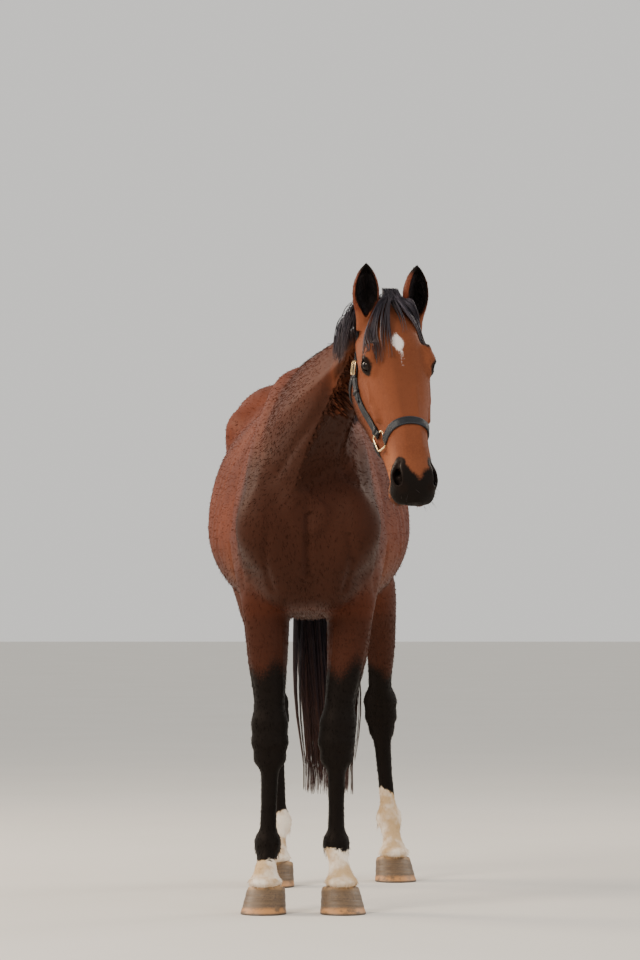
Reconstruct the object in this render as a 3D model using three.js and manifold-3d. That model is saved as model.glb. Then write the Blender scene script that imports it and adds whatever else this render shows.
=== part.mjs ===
// A standing bay horse at life size, divided into the parts a horseman names, with its halter.
// Millimetres. +X is the horse's left, +Y its rear and +Z up; it looks towards -Y.
// The body is one smooth form, built up from eggs, rods and lofts that melt into each other.
// Each part is a cage of rings laid on that form, then parted from its neighbours by thin cuts.
import * as THREE from 'three';
import Module from 'manifold-3d';

const wasm = await Module();
wasm.setup();

// ---------------------------------------------------------------- driving sizes
const CUT_GAP = 0.4;                 // between two parts that touch
const COAT = 3;                      // the coat stands this far off the form
const POLL = new THREE.Vector3(236, -605, 1820);   // top of the head, between the ears
const HEAD_TURN = 18;                // degrees that the head is turned to the horse's left
const HEAD_PITCH = 30;               // degrees that the face leans forward of plumb
const HEAD_TILT = -1;
const HOOF = { width: 138, length: 146, toeHeight: 88, heelHeight: 54, top: 0.8, lean: 0.6, forward: 32, flare: 10 };
const EAR_LENGTH = 164;
const EAR_WALL = 6;
const MANE_DEPTH = 18;
const FORELOCK_DEPTH = 16;
const STRAP = { width: 24, narrow: 18, thickness: 4 };
const RING = { size: 48, bar: 4.5, down: 425, degrees: 116, lift: 2.5 };
const EYE_RADIUS = 22;

// line of each leg: height, sideways, along the body
const LEG_LINES = {
  foreleg_left: [[1040, 150, 30], [930, 130, 25], [760, 116, 5], [640, 97, -6], [517, 85, -8],
    [400, 85, 0], [205, 84, 0], [90, 100, -62]],
  foreleg_right: [[1040, -150, 30], [930, -131, 25], [760, -124, 5], [640, -119, -6], [517, -117, -8],
    [400, -118, 0], [205, -124, 0], [90, -131, -62]],
  hindleg_left: [[1180, 160, 1040], [1050, 188, 985], [950, 215, 1040], [850, 231, 1110], [760, 238, 1165],
    [680, 237, 1212], [600, 238, 1250], [500, 243, 1268], [400, 250, 1276], [205, 268, 1284], [90, 284, 1222]],
  hindleg_right: [[1180, -160, 1040], [1050, -182, 975], [950, -172, 1010], [850, -158, 1055],
    [760, -146, 1090], [680, -136, 1115], [600, -126, 1130], [500, -117, 1122], [400, -108, 1100],
    [205, -102, 1052], [90, -114, 988]],
};

// trunk sections: along the body, top, bottom, half width, height of the widest, roundness above, below
const TRUNK = [
  [-300, 1250, 1150, 45, 1200, 2.0, 2.0], [-262, 1350, 1070, 118, 1190, 2.0, 2.0],
  [-190, 1460, 985, 165, 1175, 2.0, 2.1], [-80, 1570, 925, 195, 1170, 1.9, 2.2],
  [40, 1632, 900, 225, 1160, 1.75, 2.2], [180, 1622, 893, 270, 1150, 1.7, 2.1],
  [340, 1596, 889, 306, 1160, 1.85, 2.0], [500, 1582, 890, 319, 1175, 2.0, 2.0],
  [660, 1595, 910, 311, 1200, 2.1, 2.0], [800, 1632, 962, 285, 1250, 2.1, 2.1],
  [920, 1660, 1030, 262, 1330, 2.1, 2.1], [1040, 1650, 1100, 240, 1360, 2.1, 2.1],
  [1160, 1590, 1180, 205, 1370, 2.0, 2.0], [1260, 1500, 1260, 150, 1375, 2.0, 2.0],
  [1310, 1420, 1320, 60, 1370, 2.0, 2.0],
];

// neck stations from the withers (0) to the poll (6): crest x y z, throat x y z, half width
const NECK = [
  [0, 0, 70, 1640, 0, -170, 1060, 150], [1, 4, -60, 1662, 2, -272, 1180, 132],
  [2, 28, -190, 1678, 16, -336, 1272, 110], [3, 72, -310, 1702, 50, -388, 1356, 94],
  [4, 128, -425, 1735, 98, -418, 1452, 83], [5, 184, -525, 1778, 148, -436, 1545, 76],
  [6, 226, -592, 1815, 182, -448, 1625, 68],
];

// leg girths at a height: shift back, half width, half depth, roundness
const FORELEG_GIRTH = [
  [545, 0, 48, 44, 2.3], [590, 0, 48, 46, 2.2], [640, 0, 47, 50, 2.2], [700, 0, 53, 58, 2.1],
  [780, 0, 61, 72, 2.1], [860, 2, 67, 88, 2.1], [940, 5, 68, 104, 2.0], [1030, 5, 66, 114, 2.0],
];
const HINDLEG_GIRTH = [
  [600, 0, 44, 56, 2.2], [660, -4, 38, 56, 2.1], [720, -6, 41, 62, 2.1], [800, -8, 50, 76, 2.0],
  [900, -6, 64, 102, 2.0], [1000, 0, 80, 132, 2.0], [1120, 0, 92, 170, 2.0],
];

// head, down the face from the poll: top, bottom, half width, level of the widest, roundness above
const SKULL = [
  [-30, -48, -110, 34, -85, 2.0], [0, -14, -130, 54, -80, 2.0], [58, 16, -150, 76, -70, 2.1],
  [116, 30, -155, 92, -58, 2.2], [174, 31, -155, 97, -48, 2.3], [236, 20, -150, 94, -52, 2.4],
  [300, 9, -140, 87, -60, 2.6], [386, 1, -126, 68, -62, 2.7], [458, -4, -112, 56, -58, 2.7],
  [531, -9, -106, 56, -56, 2.5], [589, -20, -104, 60, -62, 2.3], [625, -44, -102, 52, -74, 2.1],
  [646, -70, -94, 24, -84, 2.0],
];
const JAW = [
  [55, -60, -180, 44], [98, -50, -228, 68], [160, -50, -257, 78], [232, -50, -258, 78],
  [304, -55, -250, 76], [381, -60, -219, 64], [463, -66, -176, 51], [536, -70, -155, 48],
  [579, -76, -150, 48], [610, -86, -136, 42], [627, -98, -118, 18],
];
// ear half width along its length
const EAR = [[0, 26], [0.12, 29], [0.3, 36], [0.5, 38.5], [0.7, 33], [0.86, 21], [0.95, 10], [1, 1.5]];

// ---------------------------------------------------------------- numbers
const clamp = THREE.MathUtils.clamp;
const lerp = THREE.MathUtils.lerp;
const radians = THREE.MathUtils.degToRad;

// a smooth curve through the rows of a table, looked up by its first column
function smoothTable(rows, steps = 10) {
  const slope = (i) => {
    const a = rows[Math.max(i - 1, 0)];
    const b = rows[i];
    const c = rows[Math.min(i + 1, rows.length - 1)];
    const before = b[0] - a[0];
    const after = c[0] - b[0];
    return b.map((v, j) => {
      if (before === 0) return (c[j] - v) / after;
      if (after === 0) return (v - a[j]) / before;
      return ((v - a[j]) / before * after + (c[j] - v) / after * before) / (before + after);
    });
  };
  const out = [];
  for (let i = 0; i < rows.length - 1; i += 1) {
    const p = rows[i];
    const q = rows[i + 1];
    const h = q[0] - p[0];
    const m = slope(i);
    const n = slope(i + 1);
    for (let k = 0; k < steps; k += 1) {
      const s = k / steps;
      const s2 = s * s;
      const s3 = s2 * s;
      out.push(p.map((v, j) => (2 * s3 - 3 * s2 + 1) * v + (s3 - 2 * s2 + s) * h * m[j]
        + (3 * s2 - 2 * s3) * q[j] + (s3 - s2) * h * n[j]));
    }
  }
  out.push(rows[rows.length - 1].slice());
  return out;
}

function lookUp(table, key) {
  const last = table.length - 1;
  if (key <= table[0][0]) return table[0];
  if (key >= table[last][0]) return table[last];
  let low = 0;
  let high = last;
  while (high - low > 1) {
    const middle = (low + high) >> 1;
    if (table[middle][0] > key) high = middle;
    else low = middle;
  }
  const t = (key - table[low][0]) / (table[high][0] - table[low][0]);
  return table[low].map((v, j) => lerp(v, table[high][j], t));
}

// ---------------------------------------------------------------- the melted form
const REACH = 90;                    // a piece is not felt further away than this

function melt(a, b, k) {
  const h = clamp(0.5 + 0.5 * (b - a) / k, 0, 1);
  return b + (a - b) * h - k * h * (1 - h);
}

// near distance from a superellipse with half sizes h1 and h2
function sectionDistance(q1, q2, h1, h2, power) {
  const a = Math.abs(q1) / h1;
  const b = Math.abs(q2) / h2;
  const m = (a ** power + b ** power + 1e-12) ** (1 / power);
  const g = m ** (1 - power) * Math.hypot(a ** (power - 1) / h1, b ** (power - 1) / h2) + 1e-9;
  return (m - 1) / g;
}

function beyondEnd(distance, over) {
  return over === 0 ? distance : Math.hypot(Math.max(distance, 0), over);
}

class Form {
  constructor() {
    this.pieces = [];
  }

  add(low, high, k, distance, hollow = false) {
    const m = REACH + k;
    this.pieces.push({
      x0: low[0] - m, y0: low[1] - m, z0: low[2] - m, x1: high[0] + m, y1: high[1] + m, z1: high[2] + m,
      k, hollow, distance,
    });
  }

  distance(x, y, z) {
    let d = 1000;
    for (const f of this.pieces) {
      if (x > f.x0 && x < f.x1 && y > f.y0 && y < f.y1 && z > f.z0 && z < f.z1) {
        const e = f.distance(x, y, z);
        d = f.hollow ? -melt(-d, e, f.k) : melt(d, e, f.k);
      }
    }
    return d;
  }

  egg(centre, radii, k, hollow = false) {
    const [cx, cy, cz] = centre;
    const [rx, ry, rz] = radii;
    const low = centre.map((c, i) => c - radii[i]);
    const high = centre.map((c, i) => c + radii[i]);
    this.add(low, high, k, (x, y, z) => {
      const k0 = Math.hypot((x - cx) / rx, (y - cy) / ry, (z - cz) / rz) + 1e-9;
      const k1 = Math.hypot((x - cx) / rx ** 2, (y - cy) / ry ** 2, (z - cz) / rz ** 2) + 1e-9;
      return k0 * (k0 - 1) / k1;
    }, hollow);
  }

  // rods through points [x, y, z, radius]; flat narrows them sideways
  chain(points, k, { flat = 1, inner = 0, hollow = false } = {}) {
    const widest = Math.max(...points.map((p) => p[3]));
    const low = [0, 1, 2].map((i) => Math.min(...points.map((p) => p[i])) - widest);
    const high = [0, 1, 2].map((i) => Math.max(...points.map((p) => p[i])) + widest);
    this.add(low, high, k, (x, y, z) => {
      let best = 1000;
      for (let i = 0; i < points.length - 1; i += 1) {
        const a = points[i];
        const b = points[i + 1];
        const u = [b[0] - a[0], b[1] - a[1], b[2] - a[2]];
        const q = [x - a[0], y - a[1], z - a[2]];
        const h = clamp((q[0] * u[0] + q[1] * u[1] + q[2] * u[2]) / (u[0] ** 2 + u[1] ** 2 + u[2] ** 2), 0, 1);
        const off = Math.hypot((q[0] - h * u[0]) / flat, q[1] - h * u[1], q[2] - h * u[2]);
        const d = (off - lerp(a[3], b[3], h)) * Math.min(1, flat);
        best = inner > 0 ? melt(best, d, inner) : Math.min(best, d);
      }
      return best;
    }, hollow);
  }

  rod(a, b, ra, rb, k, options) {
    this.chain([[...a, ra], [...b, rb]], k, options);
  }
}

// ---------------------------------------------------------------- trunk and quarters
function addTrunk(form) {
  const rows = smoothTable(TRUNK);
  form.add([-330, -320, 860], [330, 1320, 1680], 40, (x, y, z) => {
    const along = clamp(y, rows[0][0], rows[rows.length - 1][0]);
    const [, top, bottom, half, widest, above, below] = lookUp(rows, along);
    const up = z > widest;
    const d = sectionDistance(x, z - widest, half, up ? top - widest : widest - bottom, up ? above : below);
    return beyondEnd(d, y - along);
  });
}

function addShoulder(form, side) {
  form.rod([side * 62, 30, 1535], [side * 140, -200, 1225], 76, 82, 70, { flat: 0.6 });   // blade
  form.egg([side * 158, 15, 1140], [58, 165, 150], 60);                                   // back of the arm
  form.egg([side * 155, -238, 1180], [50, 58, 72], 40);                                   // point of the shoulder
  form.rod([side * 150, -225, 1150], [side * 140, 40, 985], 68, 66, 40, { flat: 0.8 });   // upper arm
  form.egg([side * 78, -214, 1150], [90, 80, 140], 70);                                   // breast
  form.egg([side * 70, -96, 998], [72, 112, 76], 60);
  form.egg([side * 128, 100, 990], [34, 42, 52], 35);                                     // elbow
}

// point of a leg's line at a height, moved back and sideways
function legPoint(line, z, back = 0, sideways = 0) {
  const [, x, y] = lookUp(line, z);
  return [x + sideways, y + back, z];
}

function addLegGirth(form, line, girths, low, high) {
  const rows = smoothTable(girths);
  const from = girths[0][0];
  const to = girths[girths.length - 1][0];
  form.add(low, high, 40, (x, y, z) => {
    const level = clamp(z, from, to);
    const [, shift, half, depth, power] = lookUp(rows, level);
    const [, cx, cy] = lookUp(line.smooth, level);
    return beyondEnd(sectionDistance(x - cx, y - cy - shift, half, depth, power), z - level);
  });
}

function addFoot(form, line, fetlock) {
  const at = (z, back, sideways) => legPoint(line.rows, z, back, sideways);
  form.egg(at(207, 2), fetlock, 14);
  form.egg(at(192, 30), [29, 20, 28], 14);
  form.chain([[...at(190, -2), 32], [...at(150, 0), 28], [...at(112, 0), 36]], 14, { flat: 1.04 });
  form.egg(at(94, 2), [51, 57, 22], 14);
  for (const e of [-1, 1]) form.egg(at(74, 52, e * 20), [22, 22, 30], 14);
}

function addForeleg(form, side, line) {
  const at = (z, back, sideways) => legPoint(line.rows, z, back, sideways);
  addLegGirth(form, line, FORELEG_GIRTH, [-230, -130, 540], [230, 170, 1040]);
  form.rod(at(930, -45, side * 22), at(700, -28, side * 8), 46, 24, 28);
  form.rod(at(930, 50, side * 10), at(700, 26, side * 4), 42, 22, 28);
  form.egg(at(568, -8), [53, 44, 48], 22);                                                // knee
  form.egg(at(515, -10), [57, 46, 46], 18);
  form.egg(at(468, -6), [50, 41, 40], 18);
  form.egg(at(530, 40, side * 6), [17, 24, 32], 18);
  form.chain([[...at(455, -6), 32], [...at(405, -7), 26], [...at(320, -7), 23.5], [...at(260, -6), 24.5],
    [...at(222, -4), 30]], 14);                                                           // cannon bone
  form.chain([[...at(455, 28), 19], [...at(400, 25), 14.5], [...at(320, 25), 13.5], [...at(260, 26), 15],
    [...at(215, 30), 19]], 10);                                                           // tendons
  addFoot(form, line, [41, 43, 40]);
}

function addHindleg(form, side, line) {
  const at = (z, back, sideways) => legPoint(line.rows, z, back, sideways);
  form.egg([side * 118, 985, 1480], [142, 230, 165], 60);                                 // rump
  form.egg([side * 212, 838, 1500], [50, 60, 52], 70);                                    // point of the hip
  form.chain([[side * 95, 1160, 1460, 96], [side * 124, 1205, 1290, 118], [side * 158, 1175, 1120, 98],
    [...at(960, 70), 60]], 60, { flat: 0.85, inner: 50 });                                // back of the thigh
  form.egg([side * 78, 1240, 1380], [78, 72, 120], 70);                                   // buttock
  form.chain([[side * 178, 890, 1420, 80], [side * 178, 895, 1220, 112], [...at(1050, -90), 72]], 60,
    { flat: 0.85, inner: 40 });                                                           // front of the thigh
  form.egg([side * 150, 1030, 1200], [98, 190, 170], 60);
  form.egg(at(1055, -105), [52, 52, 72], 35);                                             // stifle
  addLegGirth(form, line, HINDLEG_GIRTH, [-330, 800, 590], [330, 1380, 1130]);
  form.chain([[...at(860, 75), 30], [...at(760, 72), 19], [...at(690, 74), 16], [...at(640, 80), 22]], 16);
  form.egg(at(632, 72), [23, 26, 36], 16);                                                // point of the hock
  form.rod(at(630, 62), at(500, 28), 24, 20, 16);
  form.egg(at(600, 0), [55, 52, 52], 20);
  form.egg(at(552, 2), [54, 46, 46], 18);
  form.egg(at(508, 2), [43, 40, 38], 16);
  form.chain([[...at(500, -4), 33], [...at(440, -6), 27], [...at(350, -7), 24], [...at(270, -6), 25],
    [...at(222, -4), 31]], 14);
  form.chain([[...at(500, 32), 20], [...at(440, 28), 15.5], [...at(350, 27), 14], [...at(270, 28), 15.5],
    [...at(215, 32), 20]], 10);
  addFoot(form, line, [43, 44, 42]);
}

// ---------------------------------------------------------------- neck
function neckSections() {
  const rows = smoothTable(NECK, 5);
  const centre = rows.map((r) => new THREE.Vector3(r[1] + r[4], r[2] + r[5], r[3] + r[6]).multiplyScalar(0.5));
  return rows.map((r, i) => {
    const along = centre[Math.min(i + 1, rows.length - 1)].clone().sub(centre[Math.max(i - 1, 0)]);
    const turn = Math.atan2(along.x, -along.y);
    const up = new THREE.Vector3(r[1] - r[4], r[2] - r[5], r[3] - r[6]);
    const halfHeight = up.length() / 2;
    up.normalize();
    const left = new THREE.Vector3(Math.cos(turn), Math.sin(turn), 0);
    left.addScaledVector(up, -left.dot(up)).normalize();
    return { centre: centre[i], up, left, halfHeight, halfWidth: r[7], ahead: left.clone().cross(up) };
  });
}
const neck = neckSections();

function addNeck(form) {
  const p = new THREE.Vector3();
  const v = new THREE.Vector3();
  form.add([-180, -700, 1080], [330, 120, 1850], 70, (x, y, z) => {
    p.set(x, y, z);
    const lead = neck.map((s) => v.copy(p).sub(s.centre).dot(s.ahead));
    const i = clamp(lead.filter((f) => f >= 0).length - 1, 0, neck.length - 2);
    const a = neck[i];
    const b = neck[i + 1];
    const span = Math.abs(lead[i] - lead[i + 1]) < 1e-6 ? 1 : lead[i] - lead[i + 1];
    const h = clamp(lead[i] / span, 0, 1);
    v.copy(p).sub(a.centre.clone().lerp(b.centre, h));
    const rise = v.dot(a.up) * (1 - h) + v.dot(b.up) * h;
    const across = v.dot(a.left) * (1 - h) + v.dot(b.left) * h;
    const height = lerp(a.halfHeight, b.halfHeight, h);
    const g = rise / height;
    const narrow = g > 0 ? 1 - 0.45 * Math.min(g, 1) ** 1.3 : 1 - 0.12 * Math.min(-g, 1);
    const d = sectionDistance(across, rise, lerp(a.halfWidth, b.halfWidth, h) * narrow, height, 2.1);
    return beyondEnd(d, Math.max(-lead[0], lead[neck.length - 1], 0));
  });
}

// ---------------------------------------------------------------- head
function headBasis() {
  const turn = radians(HEAD_TURN);
  const pitch = radians(HEAD_PITCH);
  const tilt = radians(HEAD_TILT);
  const left = new THREE.Vector3(Math.cos(turn), Math.sin(turn), 0);
  const dorsal = new THREE.Vector3(Math.sin(turn) * Math.cos(pitch), -Math.cos(turn) * Math.cos(pitch),
    Math.sin(pitch));
  const down = new THREE.Vector3(Math.sin(turn) * Math.sin(pitch), -Math.cos(turn) * Math.sin(pitch),
    -Math.cos(pitch));
  const tiltedDown = down.clone().multiplyScalar(Math.cos(tilt)).addScaledVector(left, Math.sin(tilt));
  const tiltedLeft = left.clone().multiplyScalar(Math.cos(tilt)).addScaledVector(down, -Math.sin(tilt));
  return new THREE.Matrix4().makeBasis(tiltedLeft, dorsal, tiltedDown).setPosition(POLL);
}
const headFrame = headBasis();            // head coordinates: left, out of the forehead, down the face
const intoHead = headFrame.clone().invert();

function loftHead(head, rows, k, hasCrown) {
  const table = smoothTable(rows);
  const first = table[0][0];
  const last = table[table.length - 1][0];
  head.add([-120, -280, first], [120, 50, last], k, (x, y, z) => {
    const along = clamp(z, first, last);
    const [, top, bottom, half, widest, power] = lookUp(table, along);
    const level = hasCrown ? widest : (top + bottom) / 2;
    const up = y > level;
    const height = Math.max(up ? top - level : level - bottom, 4);
    const roundness = hasCrown ? (up ? power : 2) : 2.2;
    return beyondEnd(sectionDistance(x, y - level, half, height, roundness), z - along);
  });
}

function headForm() {
  const head = new Form();
  loftHead(head, SKULL, 30, true);
  loftHead(head, JAW, 26, false);
  for (const side of [-1, 1]) {
    head.egg([side * 54, -160, 212], [37, 88, 108], 24);                                  // cheek
    head.rod([side * 89, -62, 242], [side * 76, -64, 378], 13, 8, 18);                    // facial crest
    head.rod([side * 92, -54, 210], [side * 84, -66, 122], 16, 15, 24);                   // cheek arch
    head.rod([side * 84, 3, 178], [side * 91, -6, 209], 14, 14, 22);                      // brow
    head.rod([side * 91, -6, 209], [side * 83, -14, 242], 14, 11, 22);
    head.egg([side * 78, 2, 138], [12, 15, 26], 20, true);                                // hollow over the eye
    head.egg([side * 82, -29, 220], [19, 23, 26], 14);                                    // lids
    head.egg([side * 45, -52, 578], [24, 26, 37], 16);                                    // nostril wing
    head.egg([side * 36, -88, 606], [28, 24, 36], 16);                                    // upper lip
    head.egg([side * 30, -124, 592], [27, 21, 36], 14);                                   // lower lip
  }
  head.egg([0, -138, 578], [36, 18, 30], 16);                                             // chin
  head.egg([0, -74, 614], [38, 25, 28], 18);
  return head;
}

function addHead(form) {
  const head = headForm();
  const p = new THREE.Vector3();
  form.add([-40, -1010, 1170], [500, -420, 1900], 30, (x, y, z) => {
    p.set(x, y, z).applyMatrix4(intoHead);
    return head.distance(p.x, p.y, p.z);
  });
}

// ---------------------------------------------------------------- the whole form
const legs = Object.fromEntries(Object.entries(LEG_LINES).map(([name, rows]) => {
  const upward = rows.slice().reverse();
  return [name, { rows: upward, smooth: smoothTable(upward) }];
}));

function wholeForm() {
  const form = new Form();
  addTrunk(form);
  addNeck(form);
  for (const [side, word] of [[1, 'left'], [-1, 'right']]) {
    addShoulder(form, side);
    addForeleg(form, side, legs[`foreleg_${word}`]);
    addHindleg(form, side, legs[`hindleg_${word}`]);
  }
  addHead(form);
  return form;
}
const horse = wholeForm();

// ---------------------------------------------------------------- solids
function solidFrom(vertices, triangles) {
  let volume = 0;
  for (const [a, b, c] of triangles) volume += vertices[a].dot(vertices[b].clone().cross(vertices[c]));
  const faces = volume < 0 ? triangles.map(([a, b, c]) => [a, c, b]) : triangles;
  return new wasm.Manifold(new wasm.Mesh({
    numProp: 3,
    vertProperties: new Float32Array(vertices.flatMap((v) => [v.x, v.y, v.z])),
    triVerts: new Uint32Array(faces.flat()),
  }));
}

// closed solid over rings of equally many points, with one point at each end
function ringSolid(rings, start, end) {
  const sides = rings[0].length;
  const vertices = [start, ...rings.flat(), end];
  const at = (i, j) => 1 + i * sides + (j % sides);
  const last = vertices.length - 1;
  const triangles = [];
  for (let j = 0; j < sides; j += 1) {
    triangles.push([0, at(0, j + 1), at(0, j)]);
    triangles.push([last, at(rings.length - 1, j), at(rings.length - 1, j + 1)]);
    for (let i = 0; i < rings.length - 1; i += 1) {
      const [a, b, c, d] = [at(i, j), at(i, j + 1), at(i + 1, j + 1), at(i + 1, j)];
      triangles.push([a, b, c], [a, c, d]);
    }
  }
  return solidFrom(vertices, triangles);
}

function centreOf(points) {
  return points.reduce((sum, p) => sum.add(p), new THREE.Vector3()).divideScalar(points.length);
}

// ring solid with flat ends
function loftSolid(rings) {
  return ringSolid(rings, centreOf(rings[0]), centreOf(rings[rings.length - 1]));
}

// how far a ray from inside travels before it leaves
function rayLength(distance, from, direction) {
  const at = (s) => distance(from.x + direction.x * s, from.y + direction.y * s, from.z + direction.z * s);
  let s = 0;
  let d = at(s);
  while (d < -0.01 && s < 900) {
    s += Math.max(-d * 0.6, 1);
    d = at(s);
  }
  let low = Math.max(s - 40, 0);
  while (low > 0 && at(low) > 0) low = Math.max(low - 40, 0);
  let high = s;
  for (let i = 0; i < 22; i += 1) {
    const middle = (low + high) / 2;
    if (at(middle) < 0) low = middle;
    else high = middle;
  }
  return high;
}

// rings of rays round a spine of { from, u, v, along }, closed by fans that turn towards the ends
function cage(distance, spine, sides, fans) {
  const hit = (from, direction) => from.clone().addScaledVector(direction, rayLength(distance, from, direction));
  const ring = (s, lean) => Array.from({ length: sides }, (_, j) => {
    const angle = (j + 0.5) / sides * 2 * Math.PI;
    const out = s.u.clone().multiplyScalar(Math.cos(angle)).addScaledVector(s.v, Math.sin(angle));
    const direction = out.multiplyScalar(Math.cos(lean)).addScaledVector(s.along, Math.sin(lean));
    return hit(s.from, direction.normalize());
  });
  const first = spine[0];
  const last = spine[spine.length - 1];
  const rings = [];
  for (let i = fans - 1; i > 0; i -= 1) rings.push(ring(first, -i / fans * Math.PI / 2));
  for (const s of spine) rings.push(ring(s, 0));
  for (let i = 1; i < fans; i += 1) rings.push(ring(last, i / fans * Math.PI / 2));
  return ringSolid(rings, hit(first.from, first.along.clone().negate()), hit(last.from, last.along));
}

// a box-shaped region, by its frame and half sizes
class Zone {
  constructor(frame, half) {
    this.frame = frame;
    this.inverse = frame.clone().invert();
    this.half = half;
    this.point = new THREE.Vector3();
  }

  depth(x, y, z) {
    const p = this.point.set(x, y, z).applyMatrix4(this.inverse);
    return Math.min(this.half.x - Math.abs(p.x), this.half.y - Math.abs(p.y), this.half.z - Math.abs(p.z));
  }

  solid(grow) {
    const size = this.half.clone().addScalar(grow).multiplyScalar(2);
    const box = new THREE.BoxGeometry(size.x, size.y, size.z);
    return solidOf(box.applyMatrix4(this.frame));
  }
}

// closed three.js geometry as a solid
function solidOf(geometry) {
  const position = geometry.attributes.position;
  const seen = new Map();
  const vertices = [];
  const place = Array.from({ length: position.count }, (_, i) => {
    const v = new THREE.Vector3().fromBufferAttribute(position, i);
    const key = v.toArray().map((c) => Math.round(c * 1000)).join();
    if (!seen.has(key)) {
      seen.set(key, vertices.length);
      vertices.push(v);
    }
    return seen.get(key);
  });
  const order = geometry.index ? Array.from(geometry.index.array) : place.map((_, i) => i);
  const triangles = [];
  for (let i = 0; i < order.length; i += 3) {
    const t = [place[order[i]], place[order[i + 1]], place[order[i + 2]]];
    if (t[0] !== t[1] && t[1] !== t[2] && t[2] !== t[0]) triangles.push(t);
  }
  return solidFrom(vertices, triangles);
}

function geometryOf(solid) {
  const mesh = solid.getMesh();
  const geometry = new THREE.BufferGeometry();
  const positions = new Float32Array(mesh.numVert * 3);
  for (let i = 0; i < mesh.numVert; i += 1) {
    for (let k = 0; k < 3; k += 1) positions[i * 3 + k] = mesh.vertProperties[i * mesh.numProp + k];
  }
  geometry.setAttribute('position', new THREE.BufferAttribute(positions, 3));
  geometry.setIndex(Array.from(mesh.triVerts));
  geometry.computeVertexNormals();
  return geometry;
}

// half space beyond a plane through a point, as a deep box
function beyond(point, normal) {
  const far = 1500;
  const z = normal.clone().normalize();
  const helper = Math.abs(z.x) < 0.9 ? new THREE.Vector3(1, 0, 0) : new THREE.Vector3(0, 1, 0);
  const y = z.clone().cross(helper).normalize();
  const frame = new THREE.Matrix4().makeBasis(y.clone().cross(z), y, z);
  frame.setPosition(point.clone().addScaledVector(z, far));
  return new Zone(frame, new THREE.Vector3(far, far, far));
}

// ---------------------------------------------------------------- where the body is parted
const OVERLAP = 30;                  // a cage runs this far past its cut
const neckZone = beyond(new THREE.Vector3(0, -40, 1665), new THREE.Vector3(0, -475, 260));
const headCut = new THREE.Vector3(0, -200, 60).applyMatrix4(headFrame);
const headZone = beyond(headCut, new THREE.Vector3(0, 140, 130).transformDirection(headFrame));

// wedge under the body that holds a leg: sloped top, from near the midline outwards
function legZone(side, { level, slope, front, back }) {
  const reach = 1500;
  const angle = Math.atan(slope) * side;
  const centreX = side * 150;
  const height = 1200;
  const frame = new THREE.Matrix4().makeRotationY(-angle);
  const top = new THREE.Vector3(centreX, (front + back) / 2, level + slope * (Math.abs(centreX) - 60));
  const up = new THREE.Vector3(0, 0, 1).transformDirection(frame);
  frame.setPosition(top.addScaledVector(up, -height / 2));
  return new Zone(frame, new THREE.Vector3(reach, (back - front) / 2, height / 2));
}
const FORE_CUT = { level: 893, slope: 0.45, front: -330, back: 165 };
const HIND_CUT = { level: 962, slope: 0.2, front: 820, back: 1500 };
const sideZone = { 1: beyond(new THREE.Vector3(15, 0, 0), new THREE.Vector3(1, 0, 0)),
  [-1]: beyond(new THREE.Vector3(-15, 0, 0), new THREE.Vector3(-1, 0, 0)) };
const legZones = {};
for (const [side, word] of [[1, 'left'], [-1, 'right']]) {
  legZones[`foreleg_${word}`] = legZone(side, FORE_CUT);
  legZones[`hindleg_${word}`] = legZone(side, HIND_CUT);
}
const legDepth = (name, side, x, y, z) => Math.min(legZones[name].depth(x, y, z), sideZone[side].depth(x, y, z));
const sideOf = (name) => (name.endsWith('left') ? 1 : -1);

const X = new THREE.Vector3(1, 0, 0);
const Y = new THREE.Vector3(0, 1, 0);
const Z = new THREE.Vector3(0, 0, 1);
const coated = (x, y, z) => horse.distance(x, y, z) - COAT;

// ---------------------------------------------------------------- flesh
function trunkCage(lift) {
  const inside = (x, y, z) => {
    let d = Math.max(coated(x, y, z) - lift, neckZone.depth(x, y, z) - OVERLAP);
    for (const name of Object.keys(legs)) d = Math.max(d, legDepth(name, sideOf(name), x, y, z) - OVERLAP);
    return d;
  };
  const spineRows = smoothTable([[-170, 1165], [0, 1230], [300, 1250], [700, 1280], [1000, 1370], [1190, 1380]]);
  const levels = [-170, -110, -70, -35, 10, 80, 170, 280, 400, 530, 650, 750, 840, 920, 1000, 1065, 1130, 1190];
  const spine = levels.map((y) => ({ from: new THREE.Vector3(0, y, lookUp(spineRows, y)[1]), u: X, v: Z, along: Y }));
  return cage(inside, spine, 26, 4);
}

function trunkSolid() {
  let solid = trunkCage(0).subtract(neckZone.solid(CUT_GAP / 2));
  for (const name of Object.keys(legs)) {
    const wedge = legZones[name].solid(CUT_GAP / 2).intersect(sideZone[sideOf(name)].solid(CUT_GAP / 2));
    solid = solid.subtract(wedge);
  }
  return solid;
}

function neckCage(lift) {
  const inside = (x, y, z) => Math.max(coated(x, y, z) - lift, -neckZone.depth(x, y, z) - OVERLAP,
    headZone.depth(x, y, z) - OVERLAP);
  const stations = [3, 5, 7, 10, 13, 16, 19, 22, 25, 28, 30];
  const spine = stations.map((i) => {
    const s = neck[i];
    return { from: s.centre, u: s.left, v: s.up, along: s.ahead };
  });
  return cage(inside, spine, 18, 3);
}

const neckSolid = () => neckCage(0).intersect(neckZone.solid(-CUT_GAP / 2)).subtract(headZone.solid(CUT_GAP / 2));

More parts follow.
